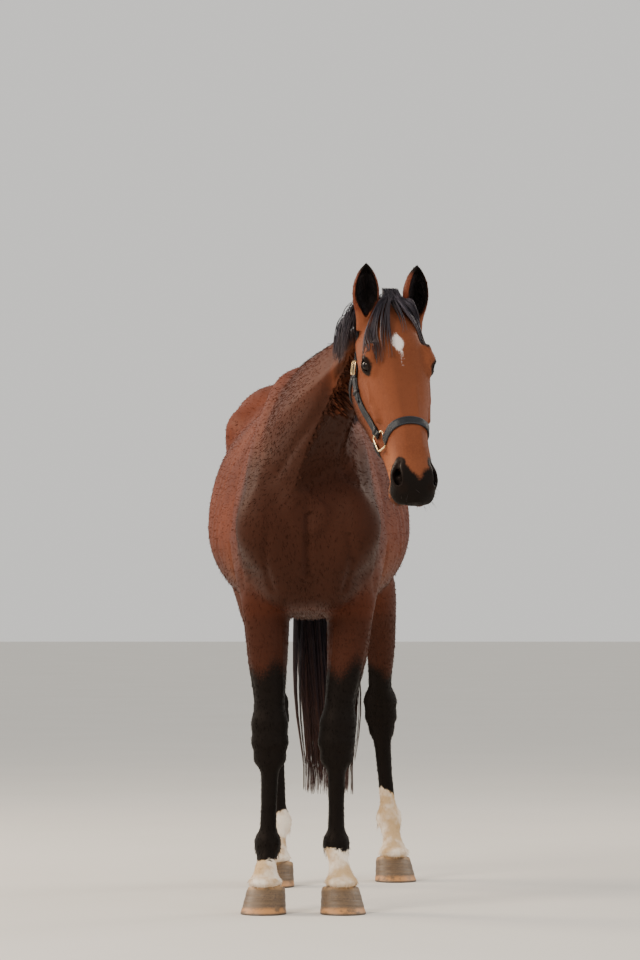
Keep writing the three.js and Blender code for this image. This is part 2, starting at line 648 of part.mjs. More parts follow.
function headCage(lift) {
  const inside = (x, y, z) => Math.max(coated(x, y, z) - lift, -headZone.depth(x, y, z) - OVERLAP);
  const axis = smoothTable([[10, -70], [150, -95], [300, -85], [450, -72], [600, -82]]);
  const levels = [10, 55, 100, 140, 174, 205, 236, 280, 330, 385, 440, 490, 530, 560, 584, 606];
  const u = new THREE.Vector3(1, 0, 0).transformDirection(headFrame);
  const v = new THREE.Vector3(0, 1, 0).transformDirection(headFrame);
  const along = new THREE.Vector3(0, 0, 1).transformDirection(headFrame);
  const spine = levels.map((a) => ({
    from: new THREE.Vector3(0, lookUp(axis, a)[1], a).applyMatrix4(headFrame), u, v, along,
  }));
  return cage(inside, spine, 22, 3);
}

// tapered opening cut into the muzzle, by its line of centres and radii
function tubeSolid(points, sides = 8) {
  const spots = points.map((p) => new THREE.Vector3(p[0], p[1], p[2]).applyMatrix4(headFrame));
  const rings = spots.map((spot, i) => {
    const along = spots[Math.min(i + 1, spots.length - 1)].clone().sub(spots[Math.max(i - 1, 0)]).normalize();
    const u = along.clone().cross(Z).normalize();
    const v = u.clone().cross(along);
    return Array.from({ length: sides }, (_, j) => {
      const angle = j / sides * 2 * Math.PI;
      return spot.clone().addScaledVector(u, Math.cos(angle) * points[i][3])
        .addScaledVector(v, Math.sin(angle) * points[i][3]);
    });
  });
  return loftSolid(rings);
}

const EYE_SPOT = [86, -27, 220];
const eyeCentre = (side) => new THREE.Vector3(side * EYE_SPOT[0], EYE_SPOT[1], EYE_SPOT[2]).applyMatrix4(headFrame);

// opening between the lids, from inside the eye outwards
function lidOpening(side) {
  const out = new THREE.Vector3(side * 0.88, 0.36, 0.2).normalize();
  return tubeSolid([[14, 12], [34, 14.5]].map(([away, radius]) => [side * EYE_SPOT[0] + out.x * away,
    EYE_SPOT[1] + out.y * away, EYE_SPOT[2] + out.z * away, radius]));
}

function eyeSolid(side, radius) {
  const ball = new THREE.SphereGeometry(radius, 12, 7);
  return solidOf(ball.translate(...eyeCentre(side).toArray()));
}

function headSolid() {
  let solid = headCage(0).intersect(headZone.solid(-CUT_GAP / 2));
  for (const side of [-1, 1]) {
    solid = solid.subtract(eyeSolid(side, EYE_RADIUS + CUT_GAP));
    solid = solid.subtract(lidOpening(side)).subtract(earOuter(side, CUT_GAP));
    solid = solid.subtract(tubeSolid([[side * 84, -30, 536, 3], [side * 74, -42, 560, 11],
      [side * 62, -54, 584, 13], [side * 42, -56, 598, 9], [side * 34, -56, 602, 4]]));
  }
  return solid;
}

// ---------------------------------------------------------------- ears
function earFrame(side) {
  const axis = new THREE.Vector3(side > 0 ? 0.07 : 0.02, -0.10, 0.99).normalize();
  const face = new THREE.Vector3(0.31 + side * 0.22, -0.92, -0.1);
  face.addScaledVector(axis, -face.dot(axis)).normalize();
  const base = new THREE.Vector3(side * 74, -30, 60).applyMatrix4(headFrame);
  return { base, axis, face, across: axis.clone().cross(face) };
}

function earRings(side, stations, radiusAt, liftAt) {
  const { base, axis, face, across } = earFrame(side);
  const sides = 10;
  return stations.map((t) => Array.from({ length: sides }, (_, j) => {
    const angle = (j + 0.5) / sides * 2 * Math.PI;
    const [wide, deep] = radiusAt(t);
    return base.clone().addScaledVector(axis, t * EAR_LENGTH)
      .addScaledVector(face, liftAt(t) + Math.sin(angle) * deep)
      .addScaledVector(across, Math.cos(angle) * wide);
  }));
}

const earTable = smoothTable(EAR);

function earOuter(side, grow) {
  const radius = (t) => lookUp(earTable, t)[1] + COAT + grow;
  const ends = grow / EAR_LENGTH;
  const stations = [-0.12 - ends, 0.08, 0.24, 0.4, 0.54, 0.7, 0.85, 0.94, 1 + ends];
  return loftSolid(earRings(side, stations, (t) => [radius(t), radius(t) / 1.12], (t) => -5 * t * t));
}

function earSolid(side) {
  const halfWidth = (t) => lookUp(earTable, t)[1];
  // the opening narrows to a point near the foot of the ear
  const narrow = (t) => clamp((t * EAR_LENGTH - 6) / 58, 0, 1) ** 0.6;
  const bowl = (t) => Math.max((halfWidth(t) - EAR_WALL) * narrow(t), 1.5);
  const stations = [0.06, 0.14, 0.26, 0.4, 0.54, 0.7, 0.86, 0.99];
  const hollow = loftSolid(earRings(side, stations, (t) => [bowl(t), bowl(t) / 0.62],
    (t) => -5 * t * t + (halfWidth(t) + 1) * 0.62));
  return earOuter(side, 0).subtract(hollow);
}

// ---------------------------------------------------------------- legs and hooves
const hoofMiddle = (name) => legPoint(legs[name].rows, 90, 2);

// plane of the coronet: higher at the toe than at the heel
function coronetZone(name) {
  const [x, y] = hoofMiddle(name);
  const slope = (HOOF.toeHeight - HOOF.heelHeight) / HOOF.length;
  const middle = (HOOF.toeHeight + HOOF.heelHeight) / 2;
  return beyond(new THREE.Vector3(x, y + 12, middle), new THREE.Vector3(0, slope, 1));
}

function legSolid(name) {
  const side = sideOf(name);
  const coronet = coronetZone(name);
  const inside = (x, y, z) => Math.max(coated(x, y, z), -legDepth(name, side, x, y, z) - OVERLAP,
    -coronet.depth(x, y, z) - OVERLAP / 2);
  const fore = name.startsWith('fore');
  const levels = fore
    ? [106, 130, 165, 202, 226, 262, 340, 420, 458, 490, 525, 565, 620, 690, 760, 840, 910, 970]
    : [106, 130, 165, 202, 226, 262, 350, 440, 484, 516, 560, 600, 640, 690, 750, 830, 910, 970, 1015];
  const spine = levels.map((z) => {
    const [, x, y] = lookUp(legs[name].rows, z);
    const back = !fore && z > 560 && z < 900 ? 14 : 4;
    return { from: new THREE.Vector3(x, y + back, z), u: X, v: Y, along: Z };
  });
  return cage(inside, spine, 12, 3).intersect(legZones[name].solid(-CUT_GAP / 2))
    .intersect(sideZone[side].solid(-CUT_GAP / 2)).intersect(coronet.solid(-CUT_GAP / 2));
}

// a hoof: round at the toe, straighter at the heels, leaning back from the ground to the coronet
function hoofSolid(name) {
  const [x, y] = hoofMiddle(name);
  const flare = (z) => sideOf(name) * HOOF.flare * (0.5 - z / HOOF.toeHeight);
  const sides = 16;
  const outline = (scale, z) => Array.from({ length: sides }, (_, j) => {
    const angle = (j + 0.5) / sides * 2 * Math.PI;
    const heel = Math.max(Math.sin(angle), 0);
    const across = Math.cos(angle) * HOOF.width / 2 * scale * (1 - 0.2 * heel ** 2);
    const along = Math.sin(angle) * HOOF.length / 2 * scale * (1 - 0.16 * heel);
    return new THREE.Vector3(x + across + flare(z), y + along - HOOF.forward + z * HOOF.lean, z);
  });
  const rings = [0, 5, 40, HOOF.toeHeight + 16].map((z) => {
    const worn = z === 0 ? 0.02 : 0;
    return outline(lerp(1, HOOF.top, z / HOOF.toeHeight) - worn, z);
  });
  return loftSolid(rings).subtract(coronetZone(name).solid(CUT_GAP / 2));
}

// ---------------------------------------------------------------- hair masses
// oval sections: height, sideways, along, half width, half depth
const TAIL = [
  [1585, 0, 1165, 40, 30], [1545, 0, 1225, 58, 50], [1480, 4, 1290, 66, 52], [1380, 10, 1330, 68, 50],
  [1200, 22, 1345, 76, 56], [1000, 40, 1340, 98, 62], [800, 54, 1332, 112, 64], [600, 64, 1325, 116, 60],
  [450, 66, 1322, 100, 50], [340, 64, 1320, 70, 36], [272, 62, 1318, 26, 16],
];

function tailSolid(rump) {
  const sides = 12;
  const rings = TAIL.map(([z, x, y, wide, deep]) => Array.from({ length: sides }, (_, j) => {
    const angle = j / sides * 2 * Math.PI;
    return new THREE.Vector3(x + Math.cos(angle) * wide, y + Math.sin(angle) * deep, z);
  }));
  return loftSolid(rings).subtract(rump);
}

// a lengthwise band of the neck's surroundings, from four corners (left, up) at each neck station
function neckBand(from, to, corners) {
  const rings = [];
  for (let i = from; i <= to; i += 1) {
    const s = neck[i];
    rings.push(corners(i / 5, s).map(([left, up]) => s.centre.clone().addScaledVector(s.left, left)
      .addScaledVector(s.up, up)));
  }
  return loftSolid(rings);
}

// the mane lies on the left of the neck, and on both sides just behind the poll
function maneSolid(neckSkin, keepOut) {
  const fall = smoothTable([[0, 30], [1, 120], [2, 190], [3, 200], [4, 180], [5, 150], [6, 120]]);
  const left = neckBand(3, 27, (t, s) => {
    const low = s.halfHeight - lookUp(fall, t)[1];
    const out = s.halfWidth + 70;
    const high = s.halfHeight + clamp((t - 0.6) * 40, 3, 70);
    return [[-34, high], [out, high], [out, low], [-34, s.halfHeight - 50]];
  });
  const right = neckBand(22, 27, (t, s) => {
    const low = s.halfHeight - 40 - (t - 4.2) * 60;
    const out = -s.halfWidth - 60;
    return [[10, s.halfHeight + 70], [10, low], [out, low], [out, s.halfHeight + 70]];
  });
  const thick = neckCage(MANE_DEPTH).intersect(left.add(right));
  return thick.subtract(neckSkin).subtract(keepOut);
}

// the forelock falls from between the ears to the right of the face
function forelockSolid(headSkin, keepOut) {
  const edges = [[-6, -46, 46], [40, -52, 50], [90, -66, 44], [140, -78, 22], [190, -80, -22], [235, -72, -46]];
  const rings = edges.map(([down, right, left]) => [[right, 0], [right, 90], [left, 90], [left, 0]]
    .map(([x, y]) => new THREE.Vector3(x, y, down).applyMatrix4(headFrame)));
  return headCage(FORELOCK_DEPTH).intersect(loftSolid(rings)).subtract(headSkin).subtract(keepOut);
}

// ---------------------------------------------------------------- halter
const slopeStep = 2;
function outward(p) {
  const d = (dx, dy, dz) => coated(p.x + dx * slopeStep, p.y + dy * slopeStep, p.z + dz * slopeStep)
    - coated(p.x - dx * slopeStep, p.y - dy * slopeStep, p.z - dz * slopeStep);
  return new THREE.Vector3(d(1, 0, 0), d(0, 1, 0), d(0, 0, 1)).normalize();
}

// the spot on the head that a ray finds, from a point inside it, both in head coordinates
function onHead(from, direction) {
  const start = new THREE.Vector3(...from).applyMatrix4(headFrame);
  const ray = new THREE.Vector3(...direction).transformDirection(headFrame);
  return start.clone().addScaledVector(ray, rayLength(coated, start, ray));
}

// the spot at a distance down the face and an angle round it, from the forehead towards the left
function roundHead(down, degrees) {
  const angle = radians(degrees);
  return onHead([0, -80, down], [Math.sin(angle), Math.cos(angle), 0]);
}

function strapSolid(spots, { width, thickness, closed = false, pieces }) {
  const route = new THREE.CatmullRomCurve3(spots, closed, 'centripetal');
  const count = closed ? pieces : pieces + 1;
  const rings = Array.from({ length: count }, (_, i) => {
    const t = i / pieces;
    const p = route.getPointAt(t);
    const out = outward(p);
    p.addScaledVector(out, -coated(p.x, p.y, p.z));
    const side = route.getTangentAt(t).cross(out).normalize();
    return [[-1, -4], [1, -4], [1, thickness], [-1, thickness]].map(([s, lift]) => p.clone()
      .addScaledVector(side, s * width / 2).addScaledVector(out, lift));
  });
  return closed ? loopSolid(rings) : loftSolid(rings);
}

// ring solid that closes on itself
function loopSolid(rings) {
  const sides = rings[0].length;
  const vertices = rings.flat();
  const triangles = [];
  for (let i = 0; i < rings.length; i += 1) {
    for (let j = 0; j < sides; j += 1) {
      const at = (m, n) => (m % rings.length) * sides + (n % sides);
      triangles.push([at(i, j), at(i, j + 1), at(i + 1, j + 1)], [at(i, j), at(i + 1, j + 1), at(i + 1, j)]);
    }
  }
  return solidFrom(vertices, triangles);
}

// square ring that lies on the head over the straps
function ringPlate(spot, size, bar, lift) {
  const out = outward(spot);
  const shape = new THREE.Shape();
  const half = size / 2;
  shape.moveTo(-half, -half).lineTo(half, -half).lineTo(half, half).lineTo(-half, half).closePath();
  const opening = new THREE.Path();
  const inner = half - bar;
  opening.moveTo(-inner, -inner).lineTo(-inner, inner).lineTo(inner, inner).lineTo(inner, -inner).closePath();
  shape.holes.push(opening);
  const plate = new THREE.ExtrudeGeometry(shape, { depth: bar, bevelEnabled: false });
  const down = new THREE.Vector3(0, 0, 1).transformDirection(headFrame);
  const side = down.clone().cross(out).normalize();
  const frame = new THREE.Matrix4().makeBasis(side, out.clone().cross(side), out);
  frame.setPosition(spot.clone().addScaledVector(out, lift));
  return solidOf(plate.applyMatrix4(frame));
}

// how far down the face the noseband runs, by the angle round the head
const noseTable = smoothTable([[0, 417], [30, 424], [50, 433], [75, 440], [116, 430], [150, 420], [180, 414]]);

function halterSolids(headSkin) {
  const strap = (spots, pieces, width = STRAP.width, closed = false) => strapSolid(spots,
    { width, thickness: STRAP.thickness, pieces, closed }).subtract(headSkin);
  const nose = Array.from({ length: 20 }, (_, i) => {
    const degrees = i * 18;
    return roundHead(lookUp(noseTable, Math.min(degrees, 360 - degrees))[1], degrees);
  });
  const solids = { halter_noseband: strap(nose, 20, STRAP.width, true) };
  for (const [side, word] of [[1, 'left'], [-1, 'right']]) {
    const cheek = [[404, 119], [350, 126], [290, 126], [235, 124], [185, 120], [150, 108], [126, 98]];
    solids[`halter_cheek_${word}`] = strap(cheek.map(([down, degrees]) => roundHead(down, side * degrees)), 9);
    solids[`halter_ring_${word}`] = ringPlate(roundHead(RING.down, side * RING.degrees), RING.size, RING.bar,
      STRAP.thickness + RING.lift);
  }
  const poll = [[1, -0.12, 0.62], [1, -0.02, 0.1], [0.84, 0.08, -0.5], [0.47, 0.23, -0.85], [0, 0.33, -0.94]];
  const back = poll.slice(0, -1).reverse().map(([x, y, z]) => [-x, y, z]);
  solids.halter_crownpiece = strap([...poll, ...back].map((d) => onHead([0, -90, 60], d)), 14);
  const throat = [[176, 131], [194, 145], [206, 161], [212, 180], [206, 199], [194, 215], [176, 229]];
  solids.halter_throat_strap = strap(throat.map(([down, degrees]) => roundHead(down, degrees)), 12);
  solids.halter_jaw_strap = strap([[232, 180], [290, 180], [345, 180], [397, 180]]
    .map(([down, degrees]) => roundHead(down, degrees)), 6, STRAP.narrow);
  return solids;
}

const parts = {};
const grownHead = headCage(CUT_GAP);
const grownNeck = neckCage(CUT_GAP);
const grownTrunk = trunkCage(CUT_GAP);
const grownEars = earOuter(1, CUT_GAP).add(earOuter(-1, CUT_GAP));

parts.trunk = trunkSolid();
parts.neck = neckSolid();
parts.head = headSolid();
for (const [side, word] of [[1, 'left'], [-1, 'right']]) {
  parts[`ear_${word}`] = earSolid(side);
  parts[`eye_${word}`] = eyeSolid(side, EYE_RADIUS);
}
for (const name of Object.keys(legs)) {
  parts[name] = legSolid(name);
  parts[name.replace('leg', '_hoof')] = hoofSolid(name);
}
const halter = halterSolids(grownHead);
Object.assign(parts, halter);
parts.mane = maneSolid(grownNeck.add(grownHead).add(grownTrunk), grownEars.add(halter.halter_crownpiece));
parts.forelock = forelockSolid(grownHead, grownEars.add(halter.halter_crownpiece));
parts.tail = tailSolid(grownTrunk);

const FINISH = {
  trunk: [0x6e2f19, 0.45], neck: [0x5c2817, 0.45], head: [0x6b321e, 0.45], ear: [0x4d2618, 0.5],
  eye: [0x120b08, 0.1], foreleg: [0x1d1513, 0.5], hindleg: [0x241814, 0.5], fore_hoof: [0x6d5a49, 0.55],
  hind_hoof: [0x6d5a49, 0.55], mane: [0x17130f, 0.5], forelock: [0x17130f, 0.5], tail: [0x17130f, 0.5],
  halter_ring: [0xb08d4a, 0.3], halter: [0x14161c, 0.55],
};
const group = new THREE.Group();
for (const [name, solid] of Object.entries(parts)) {
  const [color, roughness] = FINISH[Object.keys(FINISH).find((key) => name.startsWith(key))];
  const metalness = name.startsWith('halter_ring') ? 1 : 0;
  const mesh = new THREE.Mesh(geometryOf(solid), new THREE.MeshStandardMaterial({ color, roughness, metalness }));
  mesh.name = name;
  group.add(mesh);
}

// stand the horse on its hooves over the middle of its own outline
const outline = new THREE.Box3().setFromObject(group);
const middle = outline.getCenter(new THREE.Vector3());
group.position.set(-middle.x, -middle.y, -outline.min.z);

export default group;
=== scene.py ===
"""A bay horse in its summer coat, standing at life size in a leather halter.

The body is one smooth form, melted together from eggs, rods and lofts in millimetres, as the solids are.
One skin is drawn over it, then tufts, mane, forelock and tail grow from that skin.
"""
import math
from concurrent.futures import ThreadPoolExecutor

import bpy
import numpy as np
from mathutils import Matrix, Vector


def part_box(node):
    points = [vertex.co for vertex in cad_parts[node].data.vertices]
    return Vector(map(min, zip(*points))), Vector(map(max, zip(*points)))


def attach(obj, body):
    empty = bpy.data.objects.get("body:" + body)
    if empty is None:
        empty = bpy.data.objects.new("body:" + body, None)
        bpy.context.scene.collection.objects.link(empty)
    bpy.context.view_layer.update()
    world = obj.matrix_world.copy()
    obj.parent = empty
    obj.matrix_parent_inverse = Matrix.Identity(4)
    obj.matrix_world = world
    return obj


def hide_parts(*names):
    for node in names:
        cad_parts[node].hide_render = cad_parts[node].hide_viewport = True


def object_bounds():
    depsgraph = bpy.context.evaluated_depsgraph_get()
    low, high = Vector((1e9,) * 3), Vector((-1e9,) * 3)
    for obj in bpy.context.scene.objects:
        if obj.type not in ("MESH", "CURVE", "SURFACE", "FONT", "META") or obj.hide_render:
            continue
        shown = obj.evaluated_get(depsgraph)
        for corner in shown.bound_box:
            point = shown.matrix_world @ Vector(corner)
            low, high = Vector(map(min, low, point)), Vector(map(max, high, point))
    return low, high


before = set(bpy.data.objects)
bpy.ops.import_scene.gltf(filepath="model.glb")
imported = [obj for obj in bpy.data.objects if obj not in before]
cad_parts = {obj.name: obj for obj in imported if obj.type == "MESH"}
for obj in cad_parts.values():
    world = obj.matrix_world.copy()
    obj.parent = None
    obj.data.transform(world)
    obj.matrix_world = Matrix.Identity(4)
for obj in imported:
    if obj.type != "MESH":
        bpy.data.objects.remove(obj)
cad_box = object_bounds()

# ---- driving sizes, in millimetres
POLL = np.array([236.0, -605.0, 1820.0])
HEAD_TURN, HEAD_PITCH, HEAD_TILT = 18, 30, -1
EYE_SPOT = (86, -27, 220)
EYE_RADIUS = 22
HOOF_WIDTH, HOOF_LENGTH, HOOF_TOE, HOOF_HEEL = 138, 146, 88, 54
HOOF_TOP, HOOF_LEAN, HOOF_FORWARD = 0.8, 0.6, 32
EAR_LENGTH = 164
STRAP_WIDTH, STRAP_NARROW, STRAP_THICK = 24, 18, 4
RING_SIZE = 48
NET_STEP = 11
SKIN_FACES = 196000
THREADS = 4
SEED = 11
CAMERA_SPOT, CAMERA_LENS, CAMERA_RISE = (35, -11565, 976), 142.35, math.atan(110 / 3796)

# line of each leg: height, sideways, along the body
LEG_LINES = {
    "foreleg_left": [(1040, 150, 30), (930, 130, 25), (760, 116, 5), (640, 97, -6), (517, 85, -8),
                     (400, 85, 0), (205, 84, 0), (90, 100, -62)],
    "foreleg_right": [(1040, -150, 30), (930, -131, 25), (760, -124, 5), (640, -119, -6), (517, -117, -8),
                      (400, -118, 0), (205, -124, 0), (90, -131, -62)],
    "hindleg_left": [(1180, 160, 1040), (1050, 188, 985), (950, 215, 1040), (850, 231, 1110),
                     (760, 238, 1165), (680, 237, 1212), (600, 238, 1250), (500, 243, 1268),
                     (400, 250, 1276), (205, 268, 1284), (90, 284, 1222)],
    "hindleg_right": [(1180, -160, 1040), (1050, -182, 975), (950, -172, 1010), (850, -158, 1055),
                      (760, -146, 1090), (680, -136, 1115), (600, -126, 1130), (500, -117, 1122),
                      (400, -108, 1100), (205, -102, 1052), (90, -114, 988)],
}
# how high the white stocking of each leg reaches
WHITE_HEIGHT = {"foreleg_left": 190, "foreleg_right": 160, "hindleg_left": 300, "hindleg_right": 236}
WHITE_SLANT = {"foreleg_left": 5, "foreleg_right": 2, "hindleg_left": 15, "hindleg_right": 15}
# trunk sections: along the body, top, bottom, half width, height of the widest, roundness above, below
TRUNK = [
    (-300, 1250, 1150, 45, 1200, 2.0, 2.0), (-262, 1350, 1070, 118, 1190, 2.0, 2.0),
    (-190, 1460, 985, 165, 1175, 2.0, 2.1), (-80, 1570, 925, 195, 1170, 1.9, 2.2),
    (40, 1632, 900, 225, 1160, 1.75, 2.2), (180, 1622, 893, 270, 1150, 1.7, 2.1),
    (340, 1596, 889, 306, 1160, 1.85, 2.0), (500, 1582, 890, 319, 1175, 2.0, 2.0),
    (660, 1595, 910, 311, 1200, 2.1, 2.0), (800, 1632, 962, 285, 1250, 2.1, 2.1),
    (920, 1660, 1030, 262, 1330, 2.1, 2.1), (1040, 1650, 1100, 240, 1360, 2.1, 2.1),
    (1160, 1590, 1180, 205, 1370, 2.0, 2.0), (1260, 1500, 1260, 150, 1375, 2.0, 2.0),
    (1310, 1420, 1320, 60, 1370, 2.0, 2.0),
]
# neck stations from the withers (0) to the poll (6): crest x y z, throat x y z, half width
NECK = [
    (0, 0, 70, 1640, 0, -170, 1060, 150), (1, 4, -60, 1662, 2, -272, 1180, 132),
    (2, 28, -190, 1678, 16, -336, 1272, 110), (3, 72, -310, 1702, 50, -388, 1356, 94),
    (4, 128, -425, 1735, 98, -418, 1452, 83), (5, 184, -525, 1778, 148, -436, 1545, 76),
    (6, 226, -592, 1815, 182, -448, 1625, 68),
]
# leg girths at a height: shift back, half width, half depth, roundness
FORELEG_GIRTH = [
    (545, 0, 48, 44, 2.3), (590, 0, 48, 46, 2.2), (640, 0, 47, 50, 2.2), (700, 0, 53, 58, 2.1),
    (780, 0, 61, 72, 2.1), (860, 2, 67, 88, 2.1), (940, 5, 68, 104, 2.0), (1030, 5, 66, 114, 2.0),
]
HINDLEG_GIRTH = [
    (600, 0, 44, 56, 2.2), (660, -4, 38, 56, 2.1), (720, -6, 41, 62, 2.1), (800, -8, 50, 76, 2.0),
    (900, -6, 64, 102, 2.0), (1000, 0, 80, 132, 2.0), (1120, 0, 92, 170, 2.0),
]
# head, down the face from the poll: top, bottom, half width, level of the widest, roundness above
SKULL = [
    (-30, -48, -110, 34, -85, 2.0), (0, -14, -130, 54, -80, 2.0), (58, 16, -150, 76, -70, 2.1),
    (116, 30, -155, 92, -58, 2.2), (174, 31, -155, 97, -48, 2.3), (236, 20, -150, 94, -52, 2.4),
    (300, 9, -140, 87, -60, 2.6), (386, 1, -126, 68, -62, 2.7), (458, -4, -112, 56, -58, 2.7),
    (531, -9, -106, 56, -56, 2.5), (589, -20, -104, 60, -62, 2.3), (625, -44, -102, 52, -74, 2.1),
    (646, -70, -94, 24, -84, 2.0),
]
JAW = [
    (55, -60, -180, 44), (98, -50, -228, 68), (160, -50, -257, 78), (232, -50, -258, 78),
    (304, -55, -250, 76), (381, -60, -219, 64), (463, -66, -176, 51), (536, -70, -155, 48),
    (579, -76, -150, 48), (610, -86, -136, 42), (627, -98, -118, 18),
]
# ear half width along its length
EAR = [(0, 26), (0.12, 29), (0.3, 36), (0.5, 38.5), (0.7, 33), (0.86, 21), (0.95, 10), (1, 1.5)]
# tail: height, sideways, along the body, half width, half depth
TAIL = [
    (1585, 0, 1165, 40, 30), (1545, 0, 1225, 58, 50), (1480, 4, 1290, 66, 52), (1380, 10, 1330, 68, 50),
    (1200, 22, 1345, 76, 56), (1000, 40, 1340, 98, 62), (800, 54, 1332, 112, 64), (600, 64, 1325, 116, 60),
    (450, 66, 1322, 100, 50), (340, 64, 1320, 70, 36), (272, 62, 1318, 26, 16),
]


# ---- numbers
def unit(v):
    return v / (np.linalg.norm(v, axis=-1, keepdims=True) + 1e-9)


def between(low, high, x):
    """0 below low, 1 above high, and a smooth rise from one to the other."""
    s = np.clip((np.asarray(x, float) - low) / (high - low), 0, 1)
    return s * s * (3 - 2 * s)


def smooth_table(rows, steps=10):
    """Rows of a smooth curve through the rows of a table, keyed by its first column."""
    rows = np.array(rows, float)
    gaps = np.diff(rows, axis=0) / np.diff(rows[:, :1], axis=0)
    spans = np.diff(rows[:, 0])[:, None]
    middle = (gaps[:-1] * spans[1:] + gaps[1:] * spans[:-1]) / (spans[1:] + spans[:-1])
    slopes = np.vstack([gaps[:1], middle, gaps[-1:]])
    out = []
    for p, q, m, n in zip(rows[:-1], rows[1:], slopes[:-1], slopes[1:]):
        h = q[0] - p[0]
        for s in np.arange(steps) / steps:
            out.append((2 * s**3 - 3 * s**2 + 1) * p + (s**3 - 2 * s**2 + s) * h * m
                       + (3 * s**2 - 2 * s**3) * q + (s**3 - s**2) * h * n)
    return np.array(out + [rows[-1]])


def look_up(table, key):
    """The other columns of a table at each key."""
    return [np.interp(key, table[:, 0], table[:, i]) for i in range(1, table.shape[1])]


def head_axes():
    turn, pitch, tilt = np.radians([HEAD_TURN, HEAD_PITCH, HEAD_TILT])
    left = np.array([math.cos(turn), math.sin(turn), 0])
    dorsal = np.array([math.sin(turn) * math.cos(pitch), -math.cos(turn) * math.cos(pitch), math.sin(pitch)])
    down = np.array([math.sin(turn) * math.sin(pitch), -math.cos(turn) * math.sin(pitch), -math.cos(pitch)])
    return np.array([left * math.cos(tilt) - down * math.sin(tilt), dorsal,
                     down * math.cos(tilt) + left * math.sin(tilt)])


HEAD = head_axes()  # rows: left, out of the forehead, down the face


def to_head(p):
    return (np.asarray(p, float) - POLL) @ HEAD.T


def from_head(q):
    return POLL + np.asarray(q, float) @ HEAD


eye_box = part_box("eye_left")
SHIFT = np.array((eye_box[0] + eye_box[1]) / 2) * 1000 - from_head(EYE_SPOT)


def to_metres(p):
    return (np.asarray(p, float) + SHIFT) / 1000


def to_form(p):
    return np.asarray(p, float) * 1000 - SHIFT


# ---- the melted form
FORM_REACH = 60  # a piece is not felt further away than this


def melt(a, b, k):
    h = np.clip(0.5 + 0.5 * (b - a) / k, 0, 1)
    return b + (a - b) * h - k * h * (1 - h)


def section_distance(q1, q2, h1, h2, power):
    """Near distance from a superellipse with half sizes h1 and h2."""
    a = np.abs(q1) / h1
    b = np.abs(q2) / h2
    m = (a**power + b**power + 1e-12) ** (1 / power)
    g = m ** (1 - power) * np.hypot(a ** (power - 1) / h1, b ** (power - 1) / h2) + 1e-9
    return (m - 1) / g


def beyond_end(distance, over):
    return np.where(over == 0, distance, np.hypot(np.maximum(distance, 0), over))


class Form:
    def __init__(self):
        self.pieces = []

    def add(self, low, high, k, distance, hollow=False):
        margin = FORM_REACH + k
        low, high = np.array(low, np.float32) - margin, np.array(high, np.float32) + margin
        self.pieces.append((low, high, k, hollow, distance))

    def distance(self, p):
        p = p.astype(np.float32)
        d = np.full(len(p), 1000, np.float32)
        for low, high, k, hollow, piece in self.pieces:
            near = np.nonzero(((p > low) & (p < high)).all(1))[0]
            if len(near):
                e = piece(p[near])
                d[near] = -melt(-d[near], e, k) if hollow else melt(d[near], e, k)
        return d

    def egg(self, centre, radii, k, hollow=False):
        centre, radii = np.array(centre, np.float32), np.array(radii, np.float32)

        def distance(p):
            q = p - centre
            k0 = np.sqrt(((q / radii) ** 2).sum(1)) + 1e-6
            k1 = np.sqrt(((q / radii**2) ** 2).sum(1)) + 1e-6
            return k0 * (k0 - 1) / k1
        self.add(centre - radii, centre + radii, k, distance, hollow)

    def chain(self, points, k, flat=1.0, inner=0, hollow=False):
        """Rods through points (x, y, z, radius); flat narrows them sideways."""
        points = np.array(points, np.float32)
        widest = points[:, 3].max()

        def distance(p):
            best = np.full(len(p), 1000, np.float32)
            for a, b in zip(points[:-1], points[1:]):
                u = b[:3] - a[:3]
                q = p - a[:3]
                h = np.clip(q @ u / (u @ u), 0, 1)
                off = q - h[:, None] * u
                off[:, 0] /= flat
                d = (np.sqrt((off**2).sum(1)) - (a[3] + h * (b[3] - a[3]))) * min(1, flat)
                best = melt(best, d, inner) if inner else np.minimum(best, d)
            return best
        self.add(points[:, :3].min(0) - widest, points[:, :3].max(0) + widest, k, distance, hollow)

    def rod(self, a, b, ra, rb, k, flat=1.0):
        self.chain([(*a, ra), (*b, rb)], k, flat)


def measure(form, points):
    """Distances of many points from a form, shared out between the processor's cores."""
    chunks = np.array_split(points, max(1, len(points) // 20000))
    with ThreadPoolExecutor(THREADS) as pool:
        return np.concatenate(list(pool.map(form.distance, chunks)))


def slope(form, points, step=2.0):
    """Outward direction of a form at points near it."""
    d = [measure(form, points + step * axis) - measure(form, points - step * axis) for axis in np.eye(3)]
    return unit(np.stack(d, 1))


# ---- trunk and legs
def add_trunk(form):
    rows = smooth_table(TRUNK)

    def distance(p):
        along = np.clip(p[:, 1], rows[0, 0], rows[-1, 0])
        top, bottom, half, widest, above, below = look_up(rows, along)
        up = p[:, 2] > widest
        height = np.where(up, top - widest, widest - bottom)
        d = section_distance(p[:, 0], p[:, 2] - widest, half, height, np.where(up, above, below))
        return beyond_end(d, p[:, 1] - along)
    form.add((-330, -320, 860), (330, 1320, 1680), 40, distance)


def add_shoulder(form, side):
    form.rod((side * 62, 30, 1535), (side * 140, -200, 1225), 76, 82, 70, 0.6)  # blade
    form.egg((side * 158, 15, 1140), (58, 165, 150), 60)  # back of the arm
    form.egg((side * 155, -238, 1180), (50, 58, 72), 40)  # point of the shoulder
    form.rod((side * 150, -225, 1150), (side * 140, 40, 985), 68, 66, 40, 0.8)  # upper arm
    form.egg((side * 78, -214, 1150), (90, 80, 140), 70)  # breast
    form.egg((side * 70, -96, 998), (72, 112, 76), 60)
    form.egg((side * 128, 100, 990), (34, 42, 52), 35)  # elbow


